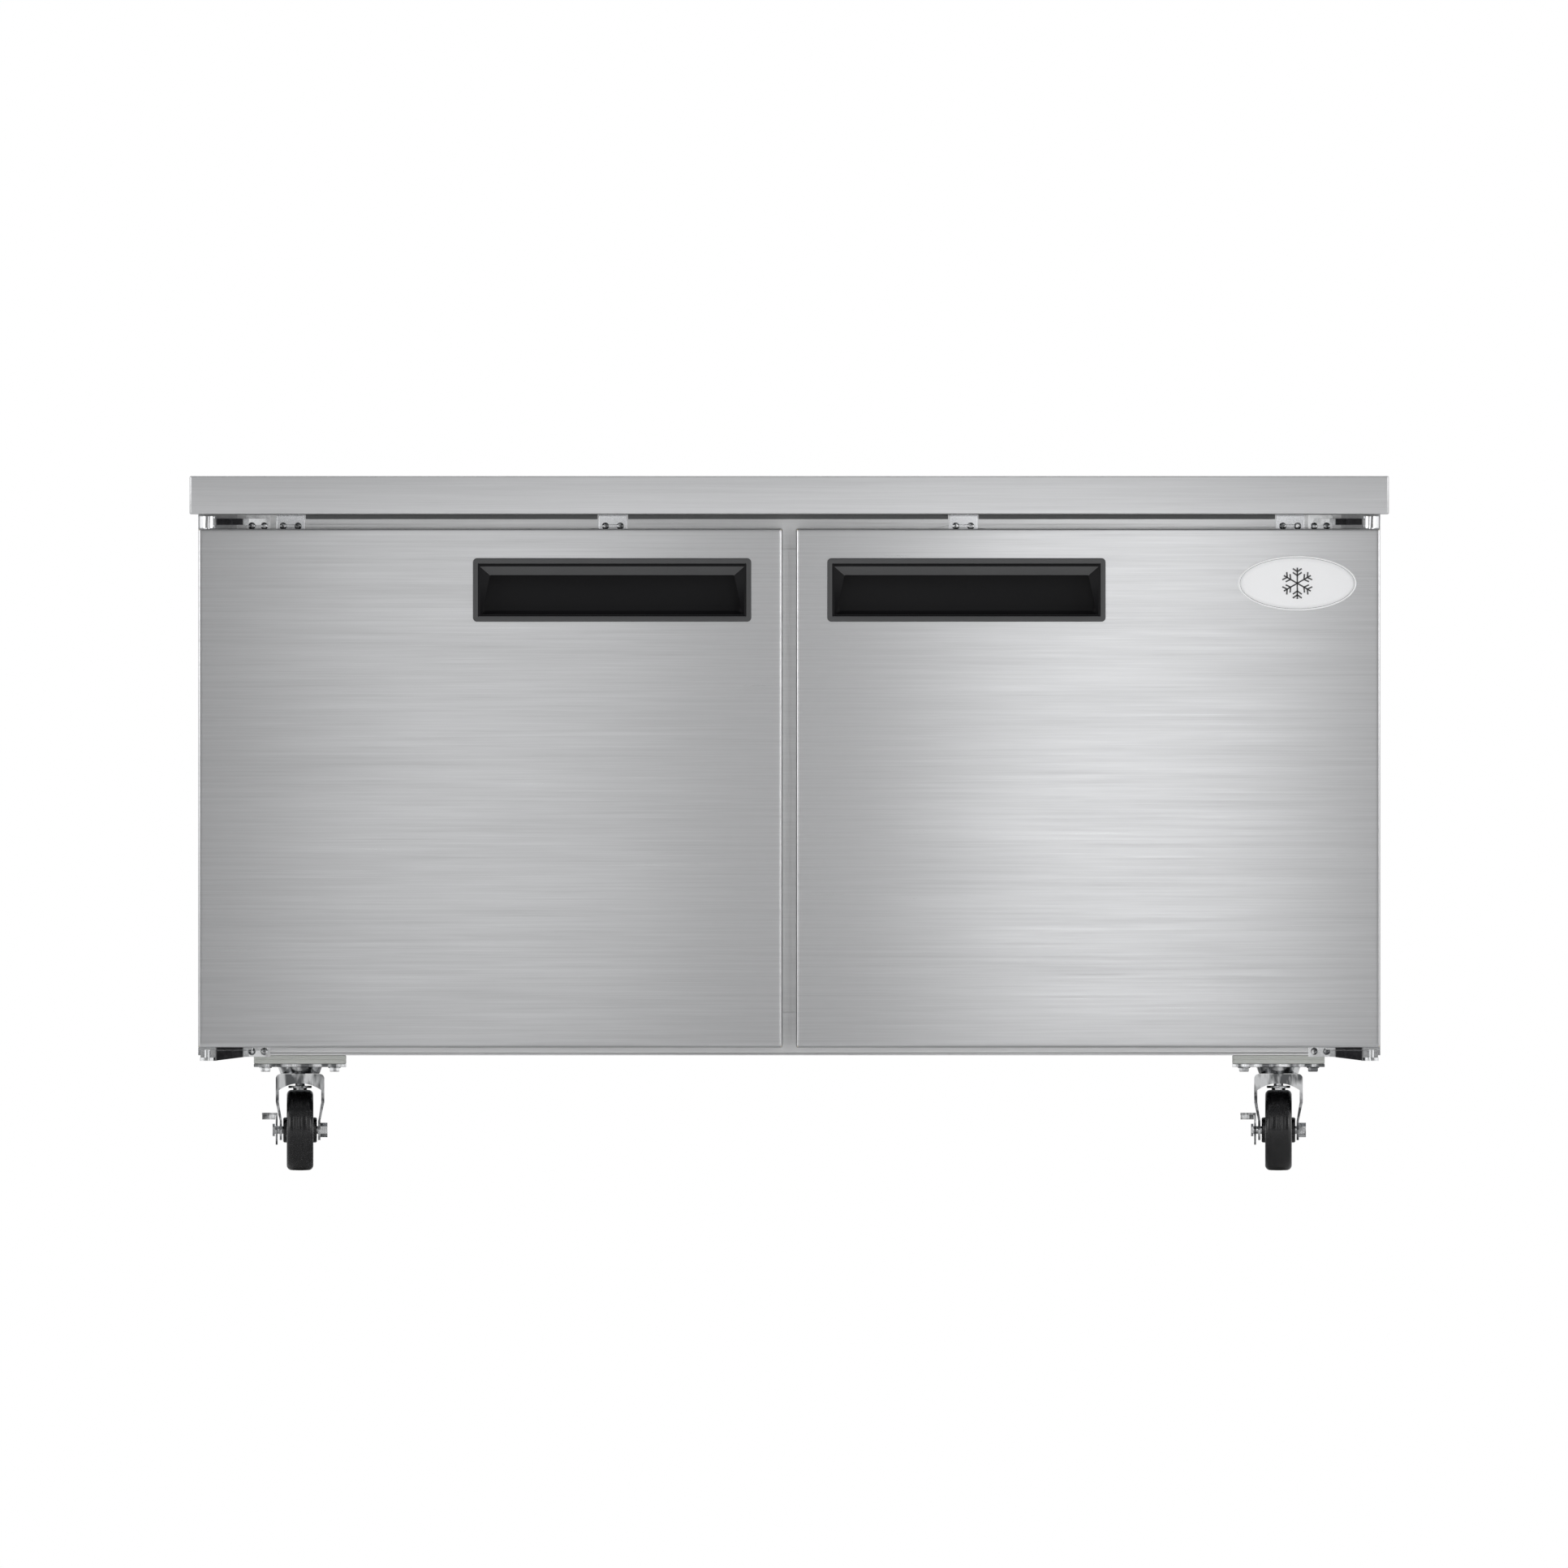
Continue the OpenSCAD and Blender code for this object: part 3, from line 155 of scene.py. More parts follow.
def finish(name, colour, metallic=0.0, roughness=0.5, grain=(500, 500, 500), contrast=0.06,
           spread=0.08, depth=0.02, wear=5.0, coat=0.0, gloss=0.5):
    """Material with fine grain in colour, roughness and surface, and slow blotches of wear.

    Grain is in features per metre along each axis, spread is the change in roughness, depth is in
    millimetres, wear is in blotches per metre, and gloss is the specular level.
    """
    material, tree, shader = new_material(name)
    shader.inputs["Metallic"].default_value = metallic
    shader.inputs["Coat Weight"].default_value = coat
    shader.inputs["Specular IOR Level"].default_value = gloss
    fine = noise(tree, grain)
    slow = noise(tree, (wear, wear, wear), detail=3.0)
    mixed = blend(tree, fine, slow, 0.45)
    colours = tint(tree, mixed, shaded(colour, 1 - contrast), shaded(colour, 1 + contrast))
    tree.links.new(colours, shader.inputs["Base Color"])
    rough = remap(tree, mixed, roughness - spread, roughness + spread)
    tree.links.new(rough, shader.inputs["Roughness"])
    relief(tree, shader, fine, depth * MM)
    return material


def brushed(name, colour, roughness, along, contrast=0.10):
    """Brushed sheet: streaks of three widths along one axis, with roughness that follows them."""

    def stretch(length, width):
        """Features per metre: one number along the streaks and the other across them."""
        return tuple(length if axis == along else width for axis in "xyz")

    material, tree, shader = new_material(name)
    shader.inputs["Metallic"].default_value = 1.0
    fine = noise(tree, stretch(7, 900), detail=5.0, roughness=0.7)
    medium = noise(tree, stretch(4, 240), detail=4.0)
    broad = noise(tree, stretch(2.0, 30), detail=3.0)
    streaks = blend(tree, blend(tree, fine, medium, 0.5), broad, 0.18)
    dark = shaded(colour, 1 - contrast)
    light = shaded(colour, 1 + contrast)
    colours = tint(tree, streaks, dark, light, 0.35, 0.65)
    tree.links.new(colours, shader.inputs["Base Color"])
    rough = remap(tree, streaks, roughness + 0.05, roughness - 0.05)
    tree.links.new(rough, shader.inputs["Roughness"])
    relief(tree, shader, blend(tree, fine, medium, 0.4), 0.012 * MM, 0.5)
    return material


def cellular(name, colour, size, roughness, depth):
    """Foamed or grained surface: small closed cells with darker pores."""
    material, tree, shader = new_material(name)
    shader.inputs["Roughness"].default_value = roughness
    pores = cells(tree, size)
    mottle = blend(tree, pores, noise(tree, (60, 60, 60)), 0.5)
    colours = tint(tree, mottle, shaded(colour, 1.08), shaded(colour, 0.8), 0.2, 0.8)
    tree.links.new(colours, shader.inputs["Base Color"])
    relief(tree, shader, pores, depth * MM)
    return material


def zinc_with_painted_reflections(name, dark, bright, roughness, painted_reflection_stretch):
    """Polished zinc plating: long soft smears from dark to bright, which are reflections painted into the
    colour, under fine scratches.

    The painted reflection stretch is in features per metre along each axis.
    """
    material, tree, shader = new_material(name)
    shader.inputs["Metallic"].default_value = 1.0
    painted_reflections = noise(tree, painted_reflection_stretch, detail=2.0, roughness=0.5)
    scratches = noise(tree, (700, 700, 90), detail=3.0)
    # Painted reflections: the colour runs from dark to bright along the smears.
    colours = tint(tree, blend(tree, painted_reflections, scratches, 0.12), dark, bright, 0.42, 0.58)
    tree.links.new(colours, shader.inputs["Base Color"])
    rough = remap(tree, scratches, roughness - 0.05, roughness + 0.07)
    tree.links.new(rough, shader.inputs["Roughness"])
    relief(tree, shader, blend(tree, painted_reflections, scratches, 0.5), 0.15 * MM, 0.8)
    return material


def plated_hinge_with_painted_shade(name, bright, dark):
    """Chrome plating on knuckles and plates, with the arm between them painted near black as shade.

    The arm lies between two distances from the middle of the object, the same on both sides.
    """
    arm_start = (695.5 * MM, 697.5 * MM)
    arm_end = (730.0 * MM, 732.5 * MM)
    material = finish(name, bright, metallic=1.0, roughness=0.14, grain=(300, 300, 300), spread=0.06)
    tree = material.node_tree
    shader = tree.nodes["Principled BSDF"]
    across = calculate(tree, "ABSOLUTE", position(tree, "Object", "X"))
    past_plate = remap(tree, across, 0.0, 1.0, *arm_start)
    before_knuckle = remap(tree, across, 1.0, 0.0, *arm_end)
    arm = calculate(tree, "MULTIPLY", past_plate, before_knuckle)
    plating = shader.inputs["Base Color"].links[0].from_socket
    # Painted shade: the arm's colour is made near black for the shadow around it.
    arm_painted_shade = tint(tree, noise(tree, (120, 120, 120)), shaded(dark, 0.7), shaded(dark, 1.5))
    mix = tree.nodes.new("ShaderNodeMix")
    mix.data_type = "RGBA"
    tree.links.new(arm, mix.inputs["Factor"])
    colour_inputs = [socket for socket in mix.inputs if socket.type == "RGBA"]
    tree.links.new(plating, colour_inputs[0])
    tree.links.new(arm_painted_shade, colour_inputs[1])
    colour_outputs = [socket for socket in mix.outputs if socket.type == "RGBA"]
    tree.links.new(colour_outputs[0], shader.inputs["Base Color"])
    return material


def make_finishes():
    """One material for each slot of the record."""
    sheet = (0.62, 0.625, 0.635)
    zinc = (0.74, 0.75, 0.77)
    looks = {
        "liner_sheet": dict(colour=(0.82, 0.83, 0.84), metallic=0.45, roughness=0.42,
                            grain=(700, 700, 60), contrast=0.04),
        "galvanised_sheet": dict(colour=(0.58, 0.60, 0.62), metallic=1.0, roughness=0.42,
                                 grain=(70, 70, 70), contrast=0.14, spread=0.12),
        # core_board is near black so that the top rail just under the worktop reflects it darker: painted
        # shade under the worktop.
        "core_board": dict(colour=(0.10, 0.095, 0.09), roughness=0.85,
                           grain=(220, 220, 900), contrast=0.2, spread=0.05, depth=0.1),
        "bracket_zinc": dict(colour=zinc, metallic=1.0, roughness=0.26,
                             grain=(300, 300, 300), contrast=0.08, spread=0.10),
        "standard_steel": dict(colour=zinc, metallic=1.0, roughness=0.3, grain=(300, 300, 60), contrast=0.06),
        "shelf_wire": dict(colour=(0.80, 0.81, 0.82), metallic=0.35, roughness=0.3,
                           grain=(300, 300, 300), contrast=0.05),
        "white_plastic": dict(colour=(0.80, 0.81, 0.81), roughness=0.42,
                              grain=(1200, 1200, 1200), contrast=0.03),
        "coil_fins": dict(colour=(0.72, 0.73, 0.74), metallic=1.0, roughness=0.35,
                          grain=(40, 40, 500), contrast=0.10),
        "motor_black": dict(colour=(0.028, 0.029, 0.031), roughness=0.42,
                            grain=(700, 700, 700), contrast=0.25, spread=0.1, depth=0.03),
        "copper_tube": dict(colour=(0.80, 0.43, 0.27), metallic=1.0, roughness=0.28,
                            grain=(90, 90, 90), contrast=0.16, spread=0.12),
        "black_plastic": dict(colour=(0.007, 0.007, 0.008), roughness=0.58,
                              grain=(1500, 1500, 1500), contrast=0.2, gloss=0.16),
        "pad_plastic": dict(colour=(0.78, 0.80, 0.76), roughness=0.5,
                            grain=(600, 600, 600), contrast=0.06, depth=0.03),
        "tyre_black": dict(colour=(0.010, 0.010, 0.011), roughness=0.26,
                           grain=(800, 800, 800), contrast=0.25, depth=0.015, coat=0.2),
        "gasket_grey": dict(colour=(0.26, 0.265, 0.27), roughness=0.55, contrast=0.08),
        "handle_black": dict(colour=(0.056, 0.057, 0.059), roughness=0.42,
                             grain=(1400, 1400, 1400), contrast=0.18, spread=0.06),
        "badge_silver": dict(colour=(0.94, 0.945, 0.955), roughness=0.3,
                             grain=(900, 900, 900), contrast=0.02, spread=0.05),
    }
    finishes = {name: finish(name, **look) for name, look in looks.items()}
    finishes["worktop_steel"] = brushed("worktop_steel", (0.66, 0.665, 0.675), 0.48, "x", contrast=0.07)
    finishes["door_steel"] = brushed("door_steel", sheet, 0.31, "x")
    finishes["panel_steel"] = brushed("panel_steel", sheet, 0.36, "y")
    finishes["frame_steel"] = brushed("frame_steel", (0.86, 0.865, 0.87), 0.38, "x", contrast=0.05)
    finishes["foam"] = cellular("foam", (0.80, 0.68, 0.38), size=0.0015, roughness=0.9, depth=0.2)
    # Screws and caster parts: dark and bright smears painted into the zinc colour as reflections.
    finishes["screw_zinc"] = zinc_with_painted_reflections("screw_zinc", dark=(0.16, 0.165, 0.17), bright=(0.85, 0.86, 0.87),
                                      roughness=0.18, painted_reflection_stretch=(190, 190, 110))
    finishes["caster_zinc"] = zinc_with_painted_reflections("caster_zinc", dark=(0.15, 0.155, 0.16), bright=(0.90, 0.91, 0.92),
                                       roughness=0.16, painted_reflection_stretch=(85, 85, 22))
    # Hinges: chrome with painted shade on the arm.
    finishes["hinge_chrome"] = plated_hinge_with_painted_shade("hinge_chrome", bright=(0.80, 0.81, 0.82),
                                            dark=(0.045, 0.045, 0.048))
    return finishes


FINISHES = make_finishes()

# ---------------------------------------------------------------- mesh tools


def inset(rect, distance):
    """Rectangle (a0, a1, b0, b1) drawn in by a distance on all sides."""
    a0, a1, b0, b1 = rect
    return (a0 + distance, a1 - distance, b0 + distance, b1 - distance)


def on_plane(u, v, level, axis):
    """Point at u, v on the plane across an axis at this level."""
    if axis == "x":
        return (level, u, v)
    if axis == "y":
        return (u, level, v)
    return (u, v, level)


def ring(rect, radius, level, axis="y"):
    """Points of a rectangle with round corners, on a plane across the axis."""
    a0, a1, b0, b1 = rect
    middles = ((a1 - radius, b1 - radius), (a0 + radius, b1 - radius),
               (a0 + radius, b0 + radius), (a1 - radius, b0 + radius))
    points = []
    for quarter, (a, b) in enumerate(middles):
        for step in range(CORNER_STEPS + 1):
            turn = math.radians(90 * (quarter + step / CORNER_STEPS))
            points.append(on_plane(a + radius * math.cos(turn), b + radius * math.sin(turn), level, axis))
    return points


def quarter(steps):
    """Sine and cosine at even steps from 0 to 90 degrees."""
    turns = [math.radians(90 * step / steps) for step in range(steps + 1)]
    return [(math.sin(turn), math.cos(turn)) for turn in turns]


def oval(middle, width, height, level, axis="y", steps=96):
    """Points of an ellipse on a plane across the axis."""
    points = []
    for step in range(steps):
        turn = math.tau * (step + 0.5) / steps
        u = middle[0] + width / 2 * math.cos(turn)
        v = middle[1] + height / 2 * math.sin(turn)
        points.append(on_plane(u, v, level, axis))
    return points


def loft(bm, rings, closed=False, caps=True):
    """Skins rings of equal length one after another, and closes the ends or the loop."""
    loops = [[bm.verts.new(point) for point in points] for points in rings]
    pairs = list(zip(loops, loops[1:]))
    if closed:
        pairs.append((loops[-1], loops[0]))
    for first, second in pairs:
        for i in range(len(first)):
            j = (i + 1) % len(first)
            bm.faces.new((first[i], first[j], second[j], second[i]))
    if caps and not closed:
        bm.faces.new(loops[0])
        bm.faces.new(loops[-1])


def cup(bm, rings):
    """Skins rings one after another and closes only the last."""
    loft(bm, rings, caps=False)
    bm.verts.ensure_lookup_table()
    bm.faces.new(bm.verts[-len(rings[-1]):])


def absorb(bm, made):
    """Adds one bmesh to another and frees it."""
    scratch = bpy.data.meshes.new("scratch")
    made.to_mesh(scratch)
    made.free()
    bm.from_mesh(scratch)
    bpy.data.meshes.remove(scratch)


def block(bm, low, high, radius, segments=3):
    """Box between two corners with all its edges rounded."""
    low = Vector(low)
    high = Vector(high)
    matrix = Matrix.Translation((low + high) / 2) @ Matrix.Diagonal((*(high - low), 1))
    made = bmesh.ops.create_cube(bm, size=1, matrix=matrix)
    edges = {edge for vert in made["verts"] for edge in vert.link_edges}
    bmesh.ops.bevel(bm, geom=list(edges), offset=radius, segments=segments, profile=0.5,
                    affect="EDGES", clamp_overlap=True)


def piece(name, bm, node, sharp=35, stands_for=True, slot=None):
    """Turns a bmesh into a piece that rides on the node's body, takes its finish and stands for it."""
    bmesh.ops.recalc_face_normals(bm, faces=bm.faces)
    mesh = bpy.data.meshes.new(name)
    bm.to_mesh(mesh)
    bm.free()
    mesh.shade_smooth()
    mesh.set_sharp_from_angle(angle=math.radians(sharp))
    obj = bpy.data.objects.new(name, mesh)
    bpy.context.scene.collection.objects.link(obj)
    slot = slot or SLOTS[node]
    mesh.materials.append(FINISHES[slot])
    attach(obj, BODIES[node])
    if stands_for:
        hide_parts(node)
    return obj


def solids(node):
    """Corners (low, high) of each separate solid of a CAD node, left to right and front to back."""
    mesh = frame["nodes"][node].data
    keys = [tuple(round(c, 5) for c in vert.co) for vert in mesh.vertices]
    parent = {key: key for key in keys}

    def find(key):
        """Point that stands for the whole solid."""
        while parent[key] != key:
            parent[key] = parent[parent[key]]
            key = parent[key]
        return key

    for face in mesh.polygons:
        corners = [keys[i] for i in face.vertices]
        for corner in corners[1:]:
            parent[find(corner)] = find(corners[0])
    groups = {}
    for key in keys:
        groups.setdefault(find(key), []).append(key)
    boxes = []
    for points in groups.values():
        low = Vector([min(p[axis] for p in points) for axis in range(3)])
        high = Vector([max(p[axis] for p in points) for axis in range(3)])
        boxes.append((low, high))
    return sorted(boxes, key=lambda pair: tuple(round(c, 3) for c in pair[0]))


def dress(node, bevel):
    """Gives a CAD node its finish and edges rounded by some millimetres, leaving its own mesh as it is."""
    obj = frame["nodes"][node]
    obj.data.materials.clear()
    obj.data.materials.append(FINISHES[SLOTS[node]])
    if bevel > 0:
        weld = obj.modifiers.new("weld", "WELD")
        weld.merge_threshold = 0.01 * MM
        rounding = obj.modifiers.new("rounding", "BEVEL")
        rounding.width = bevel * MM
        rounding.segments = 2
        rounding.limit_method = "ANGLE"
        rounding.angle_limit = math.radians(32)
        rounding.harden_normals = False
        normals = obj.modifiers.new("normals", "WEIGHTED_NORMAL")
        normals.keep_sharp = True
        normals.weight = 50


# ---------------------------------------------------------------- worktop


def make_worktop():
    """Folded sheet with rounded edges, a lip turned in below and its hollow inside."""
    low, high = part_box("worktop")
    outer = (low.x, high.x, low.y, high.y)
    sheet = 1.2 * MM
    lip = 14 * MM
    corner = 3.0 * MM
    edge = 2.2 * MM
    mouth = inset(outer, lip)
    inner = inset(outer, sheet)
    rings = [ring(mouth, corner, low.z + sheet, "z"), ring(mouth, corner, low.z, "z")]
    for sine, cosine in quarter(4):
        rings.append(ring(inset(outer, edge * (1 - sine)), corner, low.z + edge * (1 - cosine), "z"))
    for sine, cosine in quarter(4):
        rings.append(ring(inset(outer, edge * (1 - cosine)), corner, high.z - edge * (1 - sine), "z"))
    rings.append(ring(inset(outer, 4 * MM), corner, high.z, "z"))
    hollow = [ring(mouth, corner, low.z + sheet, "z"), ring(inner, corner, low.z + sheet, "z"),
              ring(inner, corner, high.z - sheet, "z")]
    bm = bmesh.new()
    cup(bm, rings)
    cup(bm, hollow)
    bmesh.ops.remove_doubles(bm, verts=bm.verts, dist=0.01 * MM)
    piece("worktop_sheet", bm, "worktop")


# ---------------------------------------------------------------- doors


def make_door_skin(side):
    """Folded door skin: rounded front edges, returned sides, back lips and the hole for the handle."""
    node = f"door_{side}_skin"
    low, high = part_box(node)
    handle_low, handle_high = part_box(f"door_{side}_handle")
    outer = (low.x, high.x, low.z, high.z)
    sheet = 1.0 * MM
    lip = 36 * MM
    corner = 1.8 * MM
    edge = 3.4 * MM
    margin_x = 5 * MM
    margin_z = 4 * MM
    hole = (handle_low.x + margin_x, handle_high.x - margin_x,
            handle_low.z + margin_z, handle_high.z - margin_z)
    rings = [ring(inset(outer, lip), corner, high.y)]
    for sine, cosine in quarter(4):
        rings.append(ring(inset(outer, sheet * (1 - sine)), corner, high.y - sheet * (1 - cosine)))
    for sine, cosine in quarter(6):
        rings.append(ring(inset(outer, edge * (1 - cosine)), corner, low.y + edge * (1 - sine)))
    rings.append(ring(inset(outer, 6 * MM), corner, low.y))
    rings.append(ring(inset(hole, -1 * MM), corner, low.y))
    rings.append(ring(hole, corner, low.y))
    rings.append(ring(hole, corner, low.y + sheet))
    rings.append(ring(inset(outer, edge), corner, low.y + sheet))
    rings.append(ring(inset(outer, sheet), corner, low.y + edge))
    rings.append(ring(inset(outer, sheet), corner, high.y - sheet))
    rings.append(ring(inset(outer, lip), corner, high.y - sheet))
    bm = bmesh.new()
    loft(bm, rings, closed=True)
    piece(f"door_{side}_sheet", bm, node)


def make_door_liner(side):
    """Inner panel: flat flange under the gasket and a pressed centre with soft corners."""
    node = f"door_{side}_liner"
    low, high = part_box(node)
    sign = 1 if side == "right" else -1
    inner_gap = 40 * MM
    outer_gap = 54 * MM
    x0 = low.x + (inner_gap if sign > 0 else outer_gap)
    x1 = high.x - (outer_gap if sign > 0 else inner_gap)
    bottom_gap = 49 * MM
    top_gap = 37.5 * MM
    plug = (x0, x1, low.z + bottom_gap, high.z - top_gap)
    flange = (low.x, high.x, low.z, high.z)
    sheet = 1.0 * MM
    flat_y = low.y + sheet
    rise = high.y - flat_y
    bend = 3 * MM
    rings = [ring(flange, 2 * MM, flat_y), ring(inset(plug, -0.4 * MM), 14 * MM, flat_y)]
    rings.append(ring(inset(plug, 0.2 * MM), 14 * MM, flat_y + 0.6 * MM))
    for sine, cosine in quarter(5):
        drawn = 1 * MM + bend * (1 - cosine)
        rings.append(ring(inset(plug, drawn), 13 * MM, flat_y + rise - bend * (1 - sine)))
    pressed_frame = ((60, 0.0), (61, 1.5), (75, 1.5), (76, 0.0), (80, 0.0))
    for drawn, sunk in pressed_frame:
        rings.append(ring(inset(plug, drawn * MM), 12 * MM, high.y - sunk * MM))
    bm = bmesh.new()
    cup(bm, rings)
    obj = piece(f"door_{side}_panel", bm, node)
    thickness = obj.modifiers.new("sheet", "SOLIDIFY")
    thickness.thickness = 0.6 * MM
    thickness.offset = -1


def make_gasket(side):
    """Magnetic seal: flat foot, folded bellows and a soft bulb that meets the frame."""
    node = f"door_{side}_gasket"
    low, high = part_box(node)
    outer = (low.x, high.x, low.z, high.z)
    depth = high.y - low.y
    profile = ((0.0, 0.0), (0.0, 0.14), (1.2, 0.22), (2.6, 0.30), (1.4, 0.40), (0.8, 0.55), (1.2, 0.80),
               (3.0, 0.95), (5.0, 1.0), (11.0, 1.0), (13.6, 0.96), (15.0, 0.82), (15.4, 0.6), (14.0, 0.42),
               (15.6, 0.30), (18.0, 0.18), (18.0, 0.0))
    rings = [ring(inset(outer, drawn * MM), 3 * MM, low.y + share * depth) for drawn, share in profile]
    bm = bmesh.new()
    loft(bm, rings, closed=True)
    piece(f"door_{side}_seal", bm, node, sharp=60)


def throat(low, high, level):
    """Mouth of the finger pocket behind the sloped band: narrow at the top and wide at the bottom."""
    band = 12.6 * MM
    bottom = 0.4 * MM
    ends = (13 * MM, 2.2 * MM)
    radius = 1.5 * MM
    square = ring((low[0], high[0], low[1] + bottom, high[1] - band), radius, level)
    middle = (low[0] + high[0]) / 2
    height = high[1] - band - low[1] - bottom
    points = []
    for x, y, z in square:
        share = (z - low[1] - bottom) / height
        drawn = ends[1] + (ends[0] - ends[1]) * share
        half = (high[0] - low[0]) / 2
        points.append((middle + (x - middle) * (half - drawn) / half, y, z))
    return points


def handle_rings(outer, opening, front, face):
    """Rings of the pull: from its seat over the rim, through the opening and into the finger pocket.

    The front is the rim's level and the face is the door's.
    """
    rim = 7 * MM
    edge = 1.1 * MM
    groove = 1.6 * MM
    band_top = (opening[0], opening[1], opening[2], opening[3] - groove)
    corners = ((opening[0], opening[2]), (opening[1], opening[3]))
    pocket = inset(outer, 11 * MM)
    rings = [ring(inset(outer, 8.5 * MM), 2 * MM, face + 1.2 * MM)]
    rings.append(ring(inset(outer, 0.3 * MM), 5 * MM, face))
    for sine, cosine in quarter(4):
        rings.append(ring(inset(outer, edge * (1 - cosine)), 5.2 * MM, front + edge * (1 - sine)))
    rings.append(ring(inset(outer, rim - 0.8 * MM), 1.6 * MM, front + 0.1 * MM))
    rings.append(ring(inset(outer, rim - 0.2 * MM), 1.4 * MM, front + 0.5 * MM))
    rings.append(ring(inset(outer, rim), 1.4 * MM, front + 1.1 * MM))
    rings.append(ring(opening, 1.4 * MM, face - 0.1 * MM))
    rings.append(ring(opening, 1.4 * MM, face + 3 * MM))
    rings.append(ring(band_top, 1.2 * MM, face + 3.2 * MM))
    rings.append(throat(*corners, face + 8 * MM))
    rings.append(throat(*corners, face + 9.5 * MM))
    rings.append(ring(pocket, 4 * MM, face + 12 * MM))
    rings.append(ring(pocket, 4 * MM, face + 27 * MM))
    rings.append(ring(inset(pocket, 3 * MM), 4 * MM, face + 30 * MM))
    return rings


def darken_pocket_and_paint_shade(bm, opening, face):
    """Gives the groove under the rim and the sloped ends the second, black finish as painted shade, and all
    that lies deep in the pull the same black, partly its own dark moulding and partly painted shade.
    """
    reach = 2.8 * MM
    for made in bm.faces:
        middle = made.calc_center_median()
        in_rim_shadow = face - 0.95 * MM < middle.y < face + 3.15 * MM
        inside = opening[0] - reach < middle.x < opening[1] + reach
        in_shaded_end = abs(made.normal.x) > 0.2 and inside
        if middle.y > face + 8.1 * MM or in_rim_shadow or in_shaded_end:
            made.material_index = 1


def make_handle(side):
    """Moulded pull: raised rim, sloped band and ends around the mouth, and a deep pocket."""
    node = f"door_{side}_handle"
    low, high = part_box(node)
    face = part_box(f"door_{side}_skin")[0].y
    outer = (low.x, high.x, low.z, high.z)
    opening = inset(outer, 8.9 * MM)
    collar = inset(outer, 8.5 * MM)
    shell = [ring(collar, 2 * MM, face + 1.2 * MM), ring(collar, 4 * MM, high.y - 2 * MM),
             ring(inset(outer, 10 * MM), 4 * MM, high.y)]
    bm = bmesh.new()
    cup(bm, handle_rings(outer, opening, low.y, face))
    cup(bm, shell)
    bmesh.ops.remove_doubles(bm, verts=bm.verts, dist=0.01 * MM)
    bmesh.ops.recalc_face_normals(bm, faces=bm.faces)
    darken_pocket_and_paint_shade(bm, opening, face)
    pull = piece(f"door_{side}_pull", bm, node, sharp=40)
    # Second finish: black for the pocket, partly painted shade, and painted shadow in the groove and on the
    # sloped ends.
    pull.data.materials.append(FINISHES["black_plastic"])


def make_badge():
    """Oval badge: rounded raised rim, a groove painted grey as shade, and a shallow dome, with a plain
    six-armed star.
    """
    low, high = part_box("badge")
    middle = ((low.x + high.x) / 2, (low.z + high.z) / 2)
    width = high.x - low.x
    height = high.z - low.z
    rise = high.y - low.y
    profile = ((0.0, 0.0), (0.0, 0.5), (0.4, 0.82), (1.2, 0.95), (2.2, 0.88), (2.7, 0.40), (4.0, 0.36))
    rings = [oval(middle, width - 2 * d * MM, height - 2 * d * MM, high.y - s * rise) for d, s in profile]
    crown_steps = 8
    for step in range(1, crown_steps):
        share = step / crown_steps
        scale = math.cos(share * math.pi / 2)
        level = high.y - rise * (0.36 + 0.56 * math.sin(share * math.pi / 2))
        rings.append(oval(middle, (width - 8 * MM) * scale, (height - 8 * MM) * scale, level))
    bm = bmesh.new()
    loft(bm, rings)
    # Painted shade: the faces of the groove ring take the grey finish.
    painted_shade_ring = 4
    steps = len(rings[0])
    bm.faces.ensure_lookup_table()
    for painted_shade_face in bm.faces[painted_shade_ring * steps:(painted_shade_ring + 1) * steps]:
        painted_shade_face.material_index = 1
    dome = piece("badge_dome", bm, "badge", sharp=60)
    dome.data.materials.append(FINISHES["gasket_grey"])
    make_emblem(middle, low.y)


def make_emblem(middle, level):
    """Plain six-armed frost star laid on the badge."""
    reach = 19 * MM
    half = 0.9 * MM
    bm = bmesh.new()
    for arm in range(6):
        around = Matrix.Rotation(math.radians(60 * arm + 30), 4, "Y")
        turn = Matrix.Translation((middle[0], 0, middle[1])) @ around
        bars = [((0, 0), (reach, 0))]
        for start in (0.52, 0.78):
            for way in (-1, 1):
                length = reach * 0.26
                bars.append(((reach * start, 0), (reach * start + length * 0.7, way * length)))
        for (x0, z0), (x1, z1) in bars:
            along = Vector((x1 - x0, 0, z1 - z0))
            tilt = Matrix.Rotation(-math.atan2(along.z, along.x), 4, "Y")
            made = bmesh.new()
            block(made, (-half, level, -half), (along.length + half, level + 0.5 * MM, half), 0.2 * MM, 2)
            made.transform(turn @ Matrix.Translation((x0, 0, z0)) @ tilt)
            absorb(bm, made)
    piece("badge_star", bm, "badge", stands_for=False, slot="handle_black")


# ---------------------------------------------------------------- fasteners


